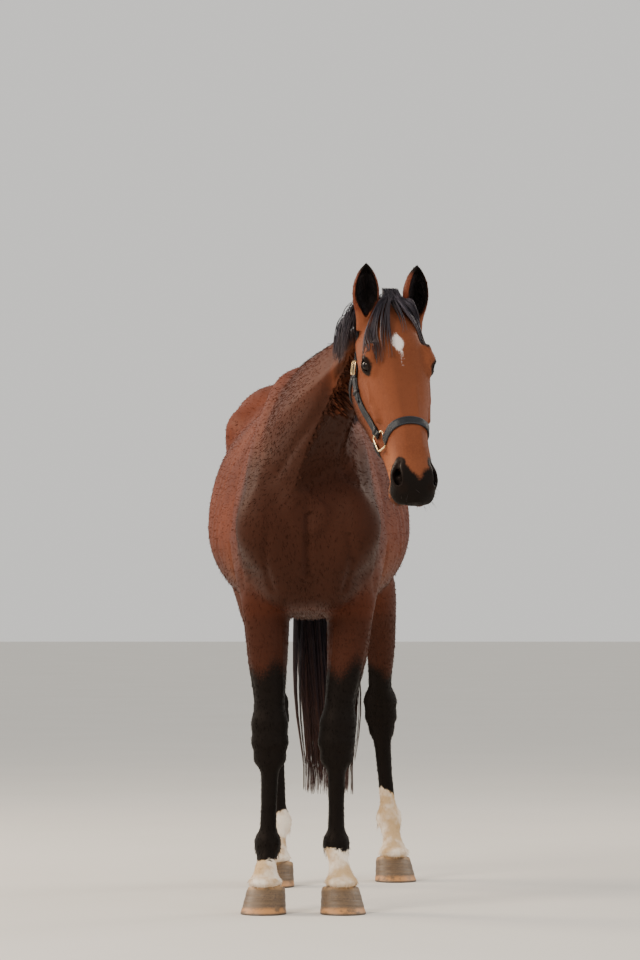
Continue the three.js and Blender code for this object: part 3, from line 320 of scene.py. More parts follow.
def leg_spot(name):
    """A function that gives a spot by its height, moved back and sideways from the leg's line."""
    rows = np.array(LEG_LINES[name][::-1], float)

    def at(z, back=0, sideways=0):
        x, y = look_up(rows, z)
        return float(x) + sideways, float(y) + back, z
    return at


def rods(at, *rows):
    """Spots of a chain down a leg, from rows of height, shift back and radius."""
    return [(*at(z, back), radius) for z, back, radius in rows]


def add_leg_girth(form, name, girths, low, high):
    line, rows = smooth_table(LEG_LINES[name][::-1]), smooth_table(girths)

    def distance(p):
        level = np.clip(p[:, 2], girths[0][0], girths[-1][0])
        back, half, depth, power = look_up(rows, level)
        x, y = look_up(line, level)
        d = section_distance(p[:, 0] - x, p[:, 1] - y - back, half, depth, power)
        return beyond_end(d, p[:, 2] - level)
    form.add(low, high, 40, distance)


def add_foot(form, at, fetlock):
    form.egg(at(207, 2), fetlock, 14)
    form.egg(at(192, 30), (29, 20, 28), 14)
    form.chain(rods(at, (190, -2, 32), (150, 0, 28), (112, 0, 36)), 14, 1.04)  # pastern
    form.egg(at(94, 2), (51, 57, 22), 14)  # coronet
    for e in (-1, 1):
        form.egg(at(74, 52, e * 20), (22, 22, 30), 14)  # bulbs of the heel


def add_foreleg(form, side, name):
    at = leg_spot(name)
    add_leg_girth(form, name, FORELEG_GIRTH, (-230, -130, 540), (230, 170, 1040))
    form.rod(at(930, -45, side * 22), at(700, -28, side * 8), 46, 24, 28)
    form.rod(at(930, 50, side * 10), at(700, 26, side * 4), 42, 22, 28)
    form.egg(at(568, -8), (53, 44, 48), 22)  # knee
    form.egg(at(515, -10), (57, 46, 46), 18)
    form.egg(at(468, -6), (50, 41, 40), 18)
    form.egg(at(530, 40, side * 6), (17, 24, 32), 18)
    bone = rods(at, (455, -6, 32), (405, -7, 26), (320, -7, 23.5), (260, -6, 24.5), (222, -4, 30))
    tendons = rods(at, (455, 28, 19), (400, 25, 14.5), (320, 25, 13.5), (260, 26, 15), (215, 30, 19))
    form.chain(bone, 14)
    form.chain(tendons, 10)
    add_foot(form, at, (41, 43, 40))


def add_hindleg(form, side, name):
    at = leg_spot(name)
    form.egg((side * 118, 985, 1480), (142, 230, 165), 60)  # rump
    form.egg((side * 212, 838, 1500), (50, 60, 52), 70)  # point of the hip
    form.chain([(side * 95, 1160, 1460, 96), (side * 124, 1205, 1290, 118), (side * 158, 1175, 1120, 98),
                (*at(960, 70), 60)], 60, 0.85, 50)  # back of the thigh
    form.egg((side * 78, 1240, 1380), (78, 72, 120), 70)  # buttock
    form.chain([(side * 178, 890, 1420, 80), (side * 178, 895, 1220, 112), (*at(1050, -90), 72)], 60,
               0.85, 40)  # front of the thigh
    form.egg((side * 150, 1030, 1200), (98, 190, 170), 60)
    form.egg(at(1055, -105), (52, 52, 72), 35)  # stifle
    add_leg_girth(form, name, HINDLEG_GIRTH, (-330, 800, 590), (330, 1380, 1130))
    form.chain(rods(at, (860, 75, 30), (760, 72, 19), (690, 74, 16), (640, 80, 22)), 16)
    form.egg(at(632, 72), (23, 26, 36), 16)  # point of the hock
    form.rod(at(630, 62), at(500, 28), 24, 20, 16)
    form.egg(at(600), (55, 52, 52), 20)
    form.egg(at(552, 2), (54, 46, 46), 18)
    form.egg(at(508, 2), (43, 40, 38), 16)
    bone = rods(at, (500, -4, 33), (440, -6, 27), (350, -7, 24), (270, -6, 25), (222, -4, 31))
    tendons = rods(at, (500, 32, 20), (440, 28, 15.5), (350, 27, 14), (270, 28, 15.5), (215, 32, 20))
    form.chain(bone, 14)
    form.chain(tendons, 10)
    add_foot(form, at, (43, 44, 42))


def add_dock(form):
    """The fleshy root that the tail's hair grows from."""
    form.chain([(0, 1190, 1545, 46), (0, 1262, 1515, 36), (6, 1315, 1440, 30), (14, 1335, 1330, 26),
                (20, 1335, 1180, 20)], 30, inner=20)


# ---- neck
def neck_sections():
    rows = smooth_table(NECK, 5)
    crest, throat = rows[:, 1:4], rows[:, 4:7]
    centre = (crest + throat) / 2
    last = len(rows) - 1
    along = np.array([centre[min(i + 1, last)] - centre[max(i - 1, 0)] for i in range(last + 1)])
    turn = np.arctan2(along[:, 0], -along[:, 1])
    height = np.linalg.norm(crest - throat, axis=1) / 2
    up = (crest - throat) / (2 * height[:, None])
    left = np.stack([np.cos(turn), np.sin(turn), 0 * turn], 1)
    left = unit(left - up * (left * up).sum(1, keepdims=True))
    return centre, up, left, height, rows[:, 7], np.cross(left, up)


NECK_CENTRE, NECK_UP, NECK_LEFT, NECK_HEIGHT, NECK_HALF, NECK_AHEAD = neck_sections()


def neck_spot(station, up, left):
    """A spot at a station from 0 to 6, up from -1 at the throat to 1 at the crest, left in half widths."""
    i = np.minimum((np.asarray(station) * 5).astype(int), len(NECK_CENTRE) - 2)
    h = (np.asarray(station) * 5 - i)[..., None]
    spots = [NECK_CENTRE[j] + NECK_UP[j] * (np.asarray(up) * NECK_HEIGHT[j])[..., None]
             + NECK_LEFT[j] * (np.asarray(left) * NECK_HALF[j])[..., None] for j in (i, i + 1)]
    return spots[0] * (1 - h) + spots[1] * h


def on_neck(p):
    """Station, rise in half heights and shift to the left of points round the neck."""
    lead = np.einsum("nij,ij->ni", p[:, None, :] - NECK_CENTRE[None], NECK_AHEAD)
    i = np.clip((lead >= 0).sum(1) - 1, 0, len(NECK_CENTRE) - 2)
    row = np.arange(len(p))
    span = lead[row, i] - lead[row, i + 1]
    h = np.clip(lead[row, i] / np.where(np.abs(span) < 1e-6, 1, span), 0, 1)[:, None]

    def mix(values):
        return values[i] * (1 - h) + values[i + 1] * h
    v = p - mix(NECK_CENTRE)
    height, half = mix(NECK_HEIGHT[:, None])[:, 0], mix(NECK_HALF[:, None])[:, 0]
    beyond = np.maximum(np.maximum(-lead[:, 0], lead[:, -1]), 0)
    return (i + h[:, 0]) / 5, (v * mix(NECK_UP)).sum(1), (v * mix(NECK_LEFT)).sum(1), height, half, beyond


def add_neck(form):
    def distance(p):
        _, rise, across, height, half, beyond = on_neck(p)
        g = rise / height
        narrow = np.where(g > 0, 1 - 0.45 * np.clip(g, 0, 1) ** 1.3, 1 - 0.12 * np.clip(-g, 0, 1))
        return beyond_end(section_distance(across, rise, half * narrow, height, 2.1), beyond)
    form.add((-180, -700, 1080), (330, 120, 1850), 70, distance)


# ---- head
def loft_head(head, rows, k, has_crown):
    table = smooth_table(rows)

    def distance(p):
        along = np.clip(p[:, 2], table[0, 0], table[-1, 0])
        columns = look_up(table, along)
        top, bottom, half = columns[:3]
        level = columns[3] if has_crown else (top + bottom) / 2
        up = p[:, 1] > level
        height = np.maximum(np.where(up, top - level, level - bottom), 4)
        power = np.where(up, columns[4], 2) if has_crown else 2.2
        return beyond_end(section_distance(p[:, 0], p[:, 1] - level, half, height, power), p[:, 2] - along)
    head.add((-120, -280, table[0, 0]), (120, 50, table[-1, 0]), k, distance)


def eye_axes(side):
    """Out of the eye, along the lids' opening towards the nose, and up across it, in head coordinates."""
    out = unit(np.array([side * 0.88, 0.36, 0.2]))
    along = np.array([-side * 0.16, -0.06, 1.0])
    along = unit(along - out * (along @ out))
    up = np.cross(along, out) * side
    return out, along, up


LID_LENGTH, LID_HEIGHT = 21.0, 14.5  # half sizes of the opening between the lids


def eye_centre(side):
    return np.array(EYE_SPOT) * (side, 1, 1)


def lid_edge(p, side):
    """Distances from the almond opening of the lids, out of the eye, and up across it."""
    out, along, up = eye_axes(side)
    q = p - eye_centre(side)
    radius = (LID_LENGTH**2 + LID_HEIGHT**2) / (2 * LID_HEIGHT)
    across = q @ up
    arch = np.where(across > 0, 1.0, 1.25)  # the lower lid is flatter
    return np.hypot(q @ along, np.abs(across) * arch + radius - LID_HEIGHT) - radius, q @ out, across


# the comma of the near nostril, from its top in the wing to its floor over the lip
NOSTRIL = [(50, -26, 548), (58, -29, 562), (58, -36, 580), (50, -45, 597), (41, -51, 608)]
# the edge of the lips, from the middle of the muzzle back
LIP_LINE = [(0, -106, 646), (34, -107, 629), (52, -108, 592), (57, -110, 552)]


def head_form():
    head = Form()
    loft_head(head, SKULL, 30, True)
    loft_head(head, JAW, 26, False)
    for side in (-1, 1):
        head.egg((side * 54, -160, 212), (37, 88, 108), 24)  # cheek
        head.rod((side * 89, -62, 242), (side * 76, -64, 378), 13, 8, 18)  # facial crest
        head.rod((side * 92, -54, 210), (side * 84, -66, 122), 16, 15, 24)  # cheek arch
        head.rod((side * 84, 2, 176), (side * 92, -8, 206), 14, 14, 22)  # brow
        head.rod((side * 91, -6, 209), (side * 83, -14, 242), 14, 11, 22)
        head.egg((side * 78, 2, 138), (12, 15, 26), 20, True)  # hollow over the eye
        head.egg((side * 85, -28, 221), (24.5, 24.5, 28), 9)  # lids
        head.egg((side * 45, -52, 578), (24, 26, 37), 16)  # nostril wing
        head.egg((side * 36, -88, 606), (28, 24, 36), 16)  # upper lip
        head.egg((side * 30, -124, 592), (27, 21, 36), 14)  # lower lip
    head.egg((0, -138, 578), (36, 18, 30), 16)  # chin
    head.egg((0, -74, 614), (38, 25, 28), 18)
    for side in (-1, 1):
        def opening(p, side=side):
            edge, out, _ = lid_edge(p, side)
            return np.maximum(edge, -out)
        spot = eye_centre(side)
        head.add(spot - 30, spot + 30, 1.5, opening, hollow=True)
        rim = [(side * x, y, z, r) for (x, y, z), r in zip(NOSTRIL, (5, 10, 13.5, 12, 7))]
        head.chain(rim, 6, hollow=True)
        head.chain([(side * 54, -44, 576, 8), (side * 42, -48, 556, 9), (side * 32, -48, 520, 6)], 5,
                   hollow=True)  # into the nose
        head.chain([(0, -106, 650, 2.2), (side * 34, -107, 629, 2.2), (side * 52, -108, 592, 2.4),
                    (side * 58, -110, 550, 2.2)], 5, hollow=True)  # line of the mouth
    return head


def add_head(form):
    head = head_form()
    form.add((-40, -1010, 1170), (500, -420, 1900), 30, lambda p: head.distance(to_head(p)))


def ear_axes(side):
    axis = unit(np.array([0.07 if side > 0 else 0.02, -0.10, 0.99]))
    face = np.array([0.31 + side * 0.22, -0.92, -0.1])
    face = unit(face - axis * (face @ axis))
    return from_head((side * 74, -30, 60)), axis, face, np.cross(axis, face)


EAR_TABLE = smooth_table(EAR)
EAR_WALL = 6.5


def on_ear(p, side):
    """Height up an ear, shift out of its face and across it, and its radius there."""
    base, axis, face, across = ear_axes(side)
    v = p - base
    up = v @ axis
    t = np.clip(up / EAR_LENGTH, 0, 1)
    radius, = look_up(EAR_TABLE, t)
    return up, v @ face + 5 * t * t, v @ across, radius


def ear_mouth(radius, up):
    """Half width of the bowl inside an ear."""
    return (radius - EAR_WALL) * np.clip((up - 6) / 58, 0, 1) ** 0.6


def ear_bowl(p, side):
    """Distance from the hollow of an ear."""
    up, out, across, radius = on_ear(p, side)
    return np.hypot(across, (out - radius * 0.62) * 0.62) - ear_mouth(radius, up)


def add_ear(form, side):
    def shell(p):
        up, out, across, radius = on_ear(p, side)
        outer = np.hypot(across, out * 1.12) - radius
        return beyond_end(outer, np.maximum(up - EAR_LENGTH, np.maximum(-(up + 30), 0)))

    def distance(p):
        return -melt(-shell(p), ear_bowl(p, side), 3)
    base, axis, _, _ = ear_axes(side)
    ends = np.array([base - 30 * axis, base + EAR_LENGTH * axis])
    form.add(ends.min(0) - 40, ends.max(0) + 40, 14, distance)


def whole_form():
    form = Form()
    add_trunk(form)
    add_neck(form)
    for side, word in ((1, "left"), (-1, "right")):
        add_shoulder(form, side)
        add_foreleg(form, side, "foreleg_" + word)
        add_hindleg(form, side, "hindleg_" + word)
    add_dock(form)
    add_head(form)
    for side in (-1, 1):
        add_ear(form, side)
    return form


horse = whole_form()


# ---- relief of the skin
def settle(points):
    """Moves points to the form's surface."""
    points = np.array(points, float)
    for _ in range(6):
        points -= slope(horse, points) * measure(horse, points)[:, None]
    return points


# grooves, hollows and veins: a line of spots, its half width and its height
SIDE_RELIEF = [
    ([(60, -70, 1610), (112, -150, 1440), (152, -232, 1240)], 18, -4.5),  # front of the blade
    ([(110, 110, 1560), (200, 92, 1360), (222, 55, 1180)], 22, -4),  # back of the blade
    ([(205, 80, 1170), (196, 128, 1050), (158, 150, 962)], 15, -5),  # triceps
    ([(118, -280, 1190), (124, -262, 1080), (104, -190, 985)], 13, -6),  # breast and arm
    ([(180, -205, 1150), (190, -120, 1060), (170, -20, 985)], 14, -3),
    ([(150, 1185, 1480), (196, 1195, 1300), (205, 1150, 1120), (212, 1120, 960)], 15, -5),
    ([(232, 850, 1440), (238, 930, 1260), (236, 960, 1090)], 22, -3.5),  # front of the thigh
    ([(212, 850, 1010), (262, 735, 1110), (285, 650, 1190)], 14, 6),  # fold of the flank
    ([(262, 760, 1450), (282, 715, 1330)], 42, -9),  # hollow of the flank
    ([(226, 180, 1010), (262, 330, 990), (262, 490, 992), (240, 640, 1012)], 4.5, 2.2),  # vein
    ([(262, 330, 990), (280, 300, 1060), (286, 260, 1120)], 4, 1.8),
]
MIDDLE_RELIEF = [
    ([(0, -300, 1240), (0, -312, 1140), (0, -260, 1010)], 11, -10),  # between the breasts
    ([(0, 1330, 1420), (0, 1300, 1260), (0, 1210, 1080)], 16, -16),  # between the buttocks
    ([(0, 880, 1660), (0, 1000, 1662), (0, 1120, 1625)], 20, -6),  # along the croup
]


def relief_lines():
    """The relief's lines, on both sides and down the middle."""
    lines = [([(side * x, y, z) for x, y, z in spots], width, height)
             for spots, width, height in SIDE_RELIEF for side in (1, -1)] + MIDDLE_RELIEF
    stations = np.linspace(0.8, 5.4, 7)
    for side in (-1, 1):
        for up, width, height in ((-0.62, 17, -6), (0.36, 24, -2.5), (-0.2, 30, -2)):
            lines.append((neck_spot(stations, up, side * 0.95), width, height))  # along the neck
        for station in (4.7, 5.05, 5.4):  # folds of the throat
            fold = neck_spot(np.array([station, station, station]), np.array([0.25, -0.2, -0.6]), side)
            lines.append((fold, 5, -2.2))
        for down in (0.10, 0.16, 0.22):  # armpit creases
            top = np.array([side * (112 + 90 * down), -205 - 150 * down, 1010 + 240 * down])
            lines.append(([top, top + (side * 60, 95, -30)], 4, -2))
        face = [[(86, -48, 236), (76, -58, 300), (62, -72, 350)],  # veins of the face
                [(62, -72, 350), (62, -110, 318), (66, -160, 296), (60, -222, 280)],
                [(92, -84, 168), (94, -80, 205), (88, -78, 250)],
                [(62, -72, 350), (56, -56, 400), (50, -48, 450)]]
        for points in face:
            lines.append((from_head([(side * x, y, z) for x, y, z in points]), 3.2, 1.7))
        nose = [(side * 34, 16, 260), (side * 27, 4, 380), (side * 26, -4, 500)]
        lines.append((from_head(nose), 8, 1.6))  # edge of the nose bones
        groove = [(side * 66, -150, 300), (side * 60, -120, 380), (side * 54, -104, 470)]
        lines.append((from_head(groove), 9, -2.6))  # cheek muscle
    for name in LEG_LINES:
        at, side = leg_spot(name), 1 if name.endswith("left") else -1
        if name.startswith("fore"):
            leg = [([(930, -70, -40), (800, -52, -42), (650, -30, -40)], 4.5, 2.4),
                   ([(960, -30, 62), (820, -34, 50), (640, -22, 44)], 9, -3),
                   ([(900, 60, 58), (760, 34, 50), (640, 20, 44)], 9, -3),
                   ([(545, -60, -14 * side), (500, -62, 0), (455, -46, 10 * side)], 6, -2)]
        else:
            leg = [([(960, -60, -66), (820, -44, -48), (680, -30, -38)], 4.5, 2.6),
                   ([(930, -10, 66), (800, 22, 46), (690, 46, 30)], 10, -3.5),
                   ([(840, 60, 40), (740, 60, 24), (660, 68, 20)], 7, -3),
                   ([(860, 60, -40), (740, 60, -24), (660, 68, -20)], 7, -3)]
        for spots, width, height in leg:
            lines.append(([at(z, back, side * out) for z, back, out in spots], width, height))
        for e in (-1, 1):  # between bone and tendon
            lines.append(([at(430, 12, e * 30), at(330, 12, e * 26), at(250, 12, e * 27)], 4.5, -1.8))
            lines.append(([at(214, 6, e * 44), at(196, -14, e * 42), at(176, -26, e * 34)], 5, -1.5))
    return lines


def line_distance(p, points):
    best = np.full(len(p), 1e6)
    for a, b in zip(points[:-1], points[1:]):
        u = b - a
        h = np.clip((p - a) @ u / (u @ u), 0, 1)
        best = np.minimum(best, ((p - a - h[:, None] * u) ** 2).sum(1))
    return np.sqrt(best)


RIB_SPACING = 56


def relief(p):
    """How far the skin stands off the plain form, in millimetres."""
    lift = np.zeros(len(p))
    for points, width, height in relief_lines():
        rows = smooth_table(np.column_stack([np.arange(len(points)), points]), 4)
        steps = np.arange(len(rows)) / (4 * len(points)) * 6
        points = settle(rows[:, 1:])
        near = ((p > points.min(0) - 3 * width) & (p < points.max(0) + 3 * width)).all(1)
        ends = between(0, 1, steps) * between(0, 1, steps[::-1])
        if near.any():
            d = line_distance(p[near], points)
            fade = ends[np.argmin(((p[near][:, None, :] - points[None, ::3]) ** 2).sum(2), 1) * 3]
            lift[near] += height * (0.3 + 0.7 * fade) * np.exp(-((d / width) ** 2))
    x, y, z = p.T
    barrel = between(150, 260, y) * between(760, 620, y) * between(985, 1070, z) * between(1480, 1390, z)
    barrel *= between(150, 230, np.abs(x))
    slant = y - 0.32 * (1250 - z)
    lift += 1.1 * barrel * (np.cos(2 * math.pi * slant / RIB_SPACING) - 0.2)
    q = to_head(p)
    for side in (-1, 1):
        edge, out, across = lid_edge(q, side)
        close = (out > 4) & (edge < 34)
        above = between(2, 8, across)
        for r, width, height in ((1.2, 1.6, 1.2), (6.5, 1.8, -1.8), (11, 2.0, -1.5), (17, 2.6, -1.4)):
            share = 1.0 if r < 5 else 0.35 + 0.65 * above
            lift += np.where(close, height * share * np.exp(-(((edge - r) / width) ** 2)), 0)
    return lift


# ---- the net drawn over the form
class Lens:
    """A space that is magnified round the head, so that an even net is finer there."""

    def __init__(self, centre, share, inner, outer):
        self.centre = np.array(centre, float)
        radii = np.linspace(0, 6000, 3001)
        rate = share + (1 - share) * between(inner, outer, radii)
        self.net = radii
        self.real = np.concatenate([[0], np.cumsum((rate[1:] + rate[:-1]) / 2 * np.diff(radii))])

    def move(self, p, x, y):
        v = p - self.centre
        r = np.linalg.norm(v, axis=1) + 1e-9
        return self.centre + v * (np.interp(r, x, y) / r)[:, None]

    def to_real(self, p):
        return self.move(p, self.net, self.real)

    def to_net(self, p):
        return self.move(p, self.real, self.net)


lens = Lens((285, -700, 1560), 0.32, 1080, 1560)
COARSE = 4  # net cells in one coarse cell


def surface_net(form, low, high, step):
    """Points and square faces of the surface of a form, one point to each cell that it crosses."""
    n = np.ceil((high - low) / (step * COARSE)).astype(int) * COARSE
    corner = np.stack(np.meshgrid(*[np.arange(0, m + 1, COARSE) for m in n], indexing="ij"), -1)
    real = lens.to_real(low + corner.reshape(-1, 3) * step)
    far = np.abs(measure(form, real)).reshape(corner.shape[:3])
    near = far < step * COARSE * 1.25
    cell = np.zeros(n // COARSE, bool)
    offsets = [(i, j, k) for i in (0, 1) for j in (0, 1) for k in (0, 1)]

    def part(offset, size):
        return tuple(slice(o, o + m) for o, m in zip(offset, size))
    for offset in offsets:
        cell |= near[part(offset, cell.shape)]
    wanted = np.zeros(n + 1, bool)
    fine = cell.repeat(COARSE, 0).repeat(COARSE, 1).repeat(COARSE, 2)
    for offset in offsets:
        wanted[part(offset, n)] |= fine
    spots = np.argwhere(wanted)
    value = np.full(n + 1, np.nan, np.float32)
    value[wanted] = measure(form, lens.to_real(low + spots * step))
    inside, known = value < 0, ~np.isnan(value)
    count, sure = np.zeros(n, np.int8), np.ones(n, bool)
    for offset in offsets:
        count += inside[part(offset, n)]
        sure &= known[part(offset, n)]
    cells = np.argwhere((count > 0) & (count < 8) & sure)
    name = np.full(n, -1)
    name[tuple(cells.T)] = np.arange(len(cells))
    total, crossings = np.zeros((len(cells), 3)), np.zeros(len(cells))
    for offset in offsets:
        for axis in range(3):
            if offset[axis]:
                continue
            other = [o + (i == axis) for i, o in enumerate(offset)]
            va, vb = value[tuple((cells + offset).T)], value[tuple((cells + other).T)]
            crossed = (va < 0) != (vb < 0)
            t = np.where(crossed, va / np.where(crossed, va - vb, 1), 0)
            spot = cells + np.array(offset, float)
            spot[:, axis] += t
            total[crossed] += spot[crossed]
            crossings += crossed
    faces = []
    for axis in range(3):
        u, v = (axis + 1) % 3, (axis + 2) % 3
        first, rest = [slice(None)] * 3, [slice(None)] * 3
        first[axis], rest[axis] = slice(0, n[axis]), slice(1, n[axis] + 1)
        a, b = inside[tuple(first)], inside[tuple(rest)]
        edges = np.argwhere((a != b) & known[tuple(first)] & known[tuple(rest)])
        edges = edges[(edges[:, [u, v]] > 0).all(1) & (edges[:, u] < n[u]) & (edges[:, v] < n[v])]
        ring = []
        for du, dv in ((0, 0), (1, 0), (1, 1), (0, 1)):
            around = edges.copy()
            around[:, u] -= du
            around[:, v] -= dv
            ring.append(name[tuple(around.T)])
        ring = np.stack(ring, 1)
        leaving = a[tuple(edges.T)]
        ring[~leaving] = ring[~leaving][:, ::-1]
        faces.append(ring[(ring >= 0).all(1)])
    return lens.to_real(low + total / crossings[:, None] * step), np.concatenate(faces)


def point_normals(points, faces):
    across = np.cross(points[faces[:, 2]] - points[faces[:, 0]], points[faces[:, -1]] - points[faces[:, 1]])
    total = np.zeros_like(points)
    for corner in faces.T:
        for axis in range(3):
            total[:, axis] += np.bincount(corner, across[:, axis], len(points))
    return unit(total)


def relaxed(points, faces):
    """Each point moved half way to the middle of its neighbours."""
    total, count = np.zeros_like(points), np.zeros(len(points))
    for a, b in ((0, 1), (1, 2), (2, 3), (3, 0)):
        for i, j in ((faces[:, a], faces[:, b]), (faces[:, b], faces[:, a])):
            count += np.bincount(i, minlength=len(points))
            for axis in range(3):
                total[:, axis] += np.bincount(i, points[j, axis], len(points))
    return (points + total / np.maximum(count, 1)[:, None]) / 2


# ---- Blender helpers
def link(name, mesh):
    obj = bpy.data.objects.new(name, mesh)
    bpy.context.scene.collection.objects.link(obj)
    return obj


def mesh_of(name, points, faces=(), edges=()):
    """A mesh from points in the form's millimetres."""
    mesh = bpy.data.meshes.new(name)
    points, faces, edges = to_metres(points), np.asarray(faces), np.asarray(edges)
    mesh.vertices.add(len(points))
    mesh.vertices.foreach_set("co", points.astype(np.float32).ravel())
    if len(edges):
        mesh.edges.add(len(edges))
        mesh.edges.foreach_set("vertices", edges.astype(np.int32).ravel())
    if len(faces):
        mesh.loops.add(faces.size)
        mesh.loops.foreach_set("vertex_index", faces.astype(np.int32).ravel())
        mesh.polygons.add(len(faces))
        mesh.polygons.foreach_set("loop_start", np.arange(0, faces.size, faces.shape[1], dtype=np.int32))
        mesh.polygons.foreach_set("use_smooth", np.full(len(faces), True))
    mesh.update(calc_edges=True)
    mesh.validate()
    return mesh


def give(mesh, name, values):
    """Stores a number or a vector for each point of a mesh."""
    values = np.asarray(values, np.float32)
    vector = values.ndim == 2
    attribute = mesh.attributes.new(name, "FLOAT_VECTOR" if vector else "FLOAT", "POINT")
    attribute.data.foreach_set("vector" if vector else "value", values.ravel())


def points_of(mesh):
    out = np.empty(len(mesh.vertices) * 3, np.float32)
    mesh.vertices.foreach_get("co", out)
    return to_form(out.reshape(-1, 3))


def normals_of(mesh):
    out = np.empty(len(mesh.vertices) * 3, np.float32)
    mesh.vertices.foreach_get("normal", out)
    return out.reshape(-1, 3).astype(float)


def settled_mesh(obj):
    """The mesh that an object's modifiers make, as a plain mesh."""
    bpy.context.view_layer.update()
    evaluated = obj.evaluated_get(bpy.context.evaluated_depsgraph_get())
    mesh = bpy.data.meshes.new_from_object(evaluated)
    mesh.name = obj.name
    return mesh


def skin_mesh():
    faces_of_box = np.array([(x, y, z) for x in (-380, 0, 400) for y in (-930, -300, 300, 900, 1400)
                             for z in (40, 500, 1000, 1500, 1960)], float)
    spread = lens.to_net(faces_of_box)
    points, faces = surface_net(horse, spread.min(0) - 20, spread.max(0) + 20, NET_STEP)
    for _ in range(2):
        points = relaxed(points, faces)
        points -= point_normals(points, faces) * measure(horse, points)[:, None]
    points += point_normals(points, faces) * relief(points)[:, None]
    obj = link("skin_net", mesh_of("skin_net", points, faces))
    thin = obj.modifiers.new("thin", "DECIMATE")
    thin.ratio = min(1, SKIN_FACES / (2 * len(faces)))
    mesh = settled_mesh(obj)
    bpy.data.objects.remove(obj)
    return mesh


skin_shape = skin_mesh()


# ---- markings, and the lie of the coat
def unwrap(p):
    """Place of spots on an unwrap of the body: round its limbs and along them, in eight cells."""
    x, y, z = p.T
    cell = np.where(y < 450, np.where(x > 0, 4, 5), np.where(x > 0, 6, 7))
    around = np.zeros(len(p))
    along = np.clip(z / 960, 0, 1)
    for i, name in enumerate(LEG_LINES):
        line = smooth_table(LEG_LINES[name][::-1])
        lx, ly = look_up(line, z)
        around = np.where(cell == 4 + i, np.arctan2(x - lx, y - ly), around)
    station, rise, across, _, _, _ = on_neck(p)
    q = to_head(p)
    body = z > 960
    cell = np.where(body, 2, cell)
    around = np.where(body, np.arctan2(x, z - 1250), around)
    along = np.where(body, np.clip((y + 350) / 1700, 0, 1), along)
    neck = body & (NECK_CUT_AT(p) > 0)
    cell = np.where(neck, 1, cell)
    around = np.where(neck, np.arctan2(across, rise), around)
    along = np.where(neck, np.clip(station / 6, 0, 1), along)
    head = body & (HEAD_CUT_AT(p) > 0)
    cell = np.where(head, 0, cell)
    around = np.where(head, np.arctan2(q[:, 0], q[:, 1] + 90), around)
    along = np.where(head, np.clip((q[:, 2] + 160) / 820, 0, 1), along)
    u = (cell % 4 + 0.04 + 0.92 * (around / (2 * math.pi) + 0.5)) / 4
    v = (cell // 4 + 0.04 + 0.92 * along) / 2
    return np.stack([u, v, 0 * u], 1)


def plane(spot, normal):
    normal = unit(np.array(normal, float))
    return lambda p: (p - np.array(spot, float)) @ normal


NECK_CUT_AT = plane((0, -40, 1665), (0, -475, 260))
HEAD_CUT_AT = plane(from_head((0, -200, 60)), np.array([0, 140, 130]) @ HEAD)


def part_weights(p):
    """Shares of head, neck, legs and ears at each point."""
    z = p[:, 2]
    head = between(-25, 25, HEAD_CUT_AT(p)) * (z > 1150)
    neck = between(-60, 60, NECK_CUT_AT(p)) * (z > 960) * (1 - head)
    leg = between(960, 820, z)
    ear = np.zeros(len(p))
    for side in (-1, 1):
        up, out, across, radius = on_ear(p, side)
        ear = np.maximum(ear, between(14, 34, up) * (np.hypot(out, across) < radius + 14))
    return head * (1 - ear), neck * (1 - ear), leg, ear


def lie_of(p, normal):
    """The way the hair lies."""
    head, neck, leg, ear = part_weights(p)
    q = to_head(p)
    side = np.sign(p[:, :1])
    body = np.tile([0.0, 0.88, -0.3], (len(p), 1))
    body += between(900, 1250, p[:, 1])[:, None] * np.array([0, -0.25, -0.6])
    body += side * between(1500, 1650, p[:, 2])[:, None] * np.array([0.5, 0, 0])
    face = np.array([0, 0.1, 1.0]) @ HEAD
    cheek = np.array([0, -0.8, 0.5]) @ HEAD
    back = between(-60, -150, q[:, 1])[:, None]
    face_lie = face * (1 - back) + cheek * back + (np.sign(q[:, :1]) * [[0.35, 0, 0]]) @ HEAD
    along_neck = np.array([-0.25, 0.55, -0.75])
    stand = np.array([0.05, -0.1, 1.0])
    lie = body * (1 - np.clip(head + neck + leg + ear, 0, 1))[:, None]
    lie += face_lie * head[:, None] + along_neck * neck[:, None] + np.array([0, 0.16, -1]) * leg[:, None]
    lie += stand * ear[:, None]
    return unit(lie - normal * (lie * normal).sum(1, keepdims=True))


def leg_facts(p):
    """How far each point lies behind its leg's line, and below its white edge."""
    x, y, z = p.T
    back, white = np.full(len(p), -50.0), np.full(len(p), -200.0)
    for name in LEG_LINES:
        side = 1 if name.endswith("left") else -1
        mine = (side * x > 0) & ((y < 450) == name.startswith("fore")) & (z < 1000)
        lx, ly = look_up(smooth_table(LEG_LINES[name][::-1]), z)
        back = np.where(mine, y - ly, back)
        dip = WHITE_SLANT[name] * np.cos(np.arctan2(x - lx, ly - y) * 2 + side)
        white = np.where(mine, WHITE_HEIGHT[name] + dip - z, white)
    return back, white


def most(*values):
    """The largest of several values at each point."""
    return np.maximum.reduce(np.broadcast_arrays(*values))


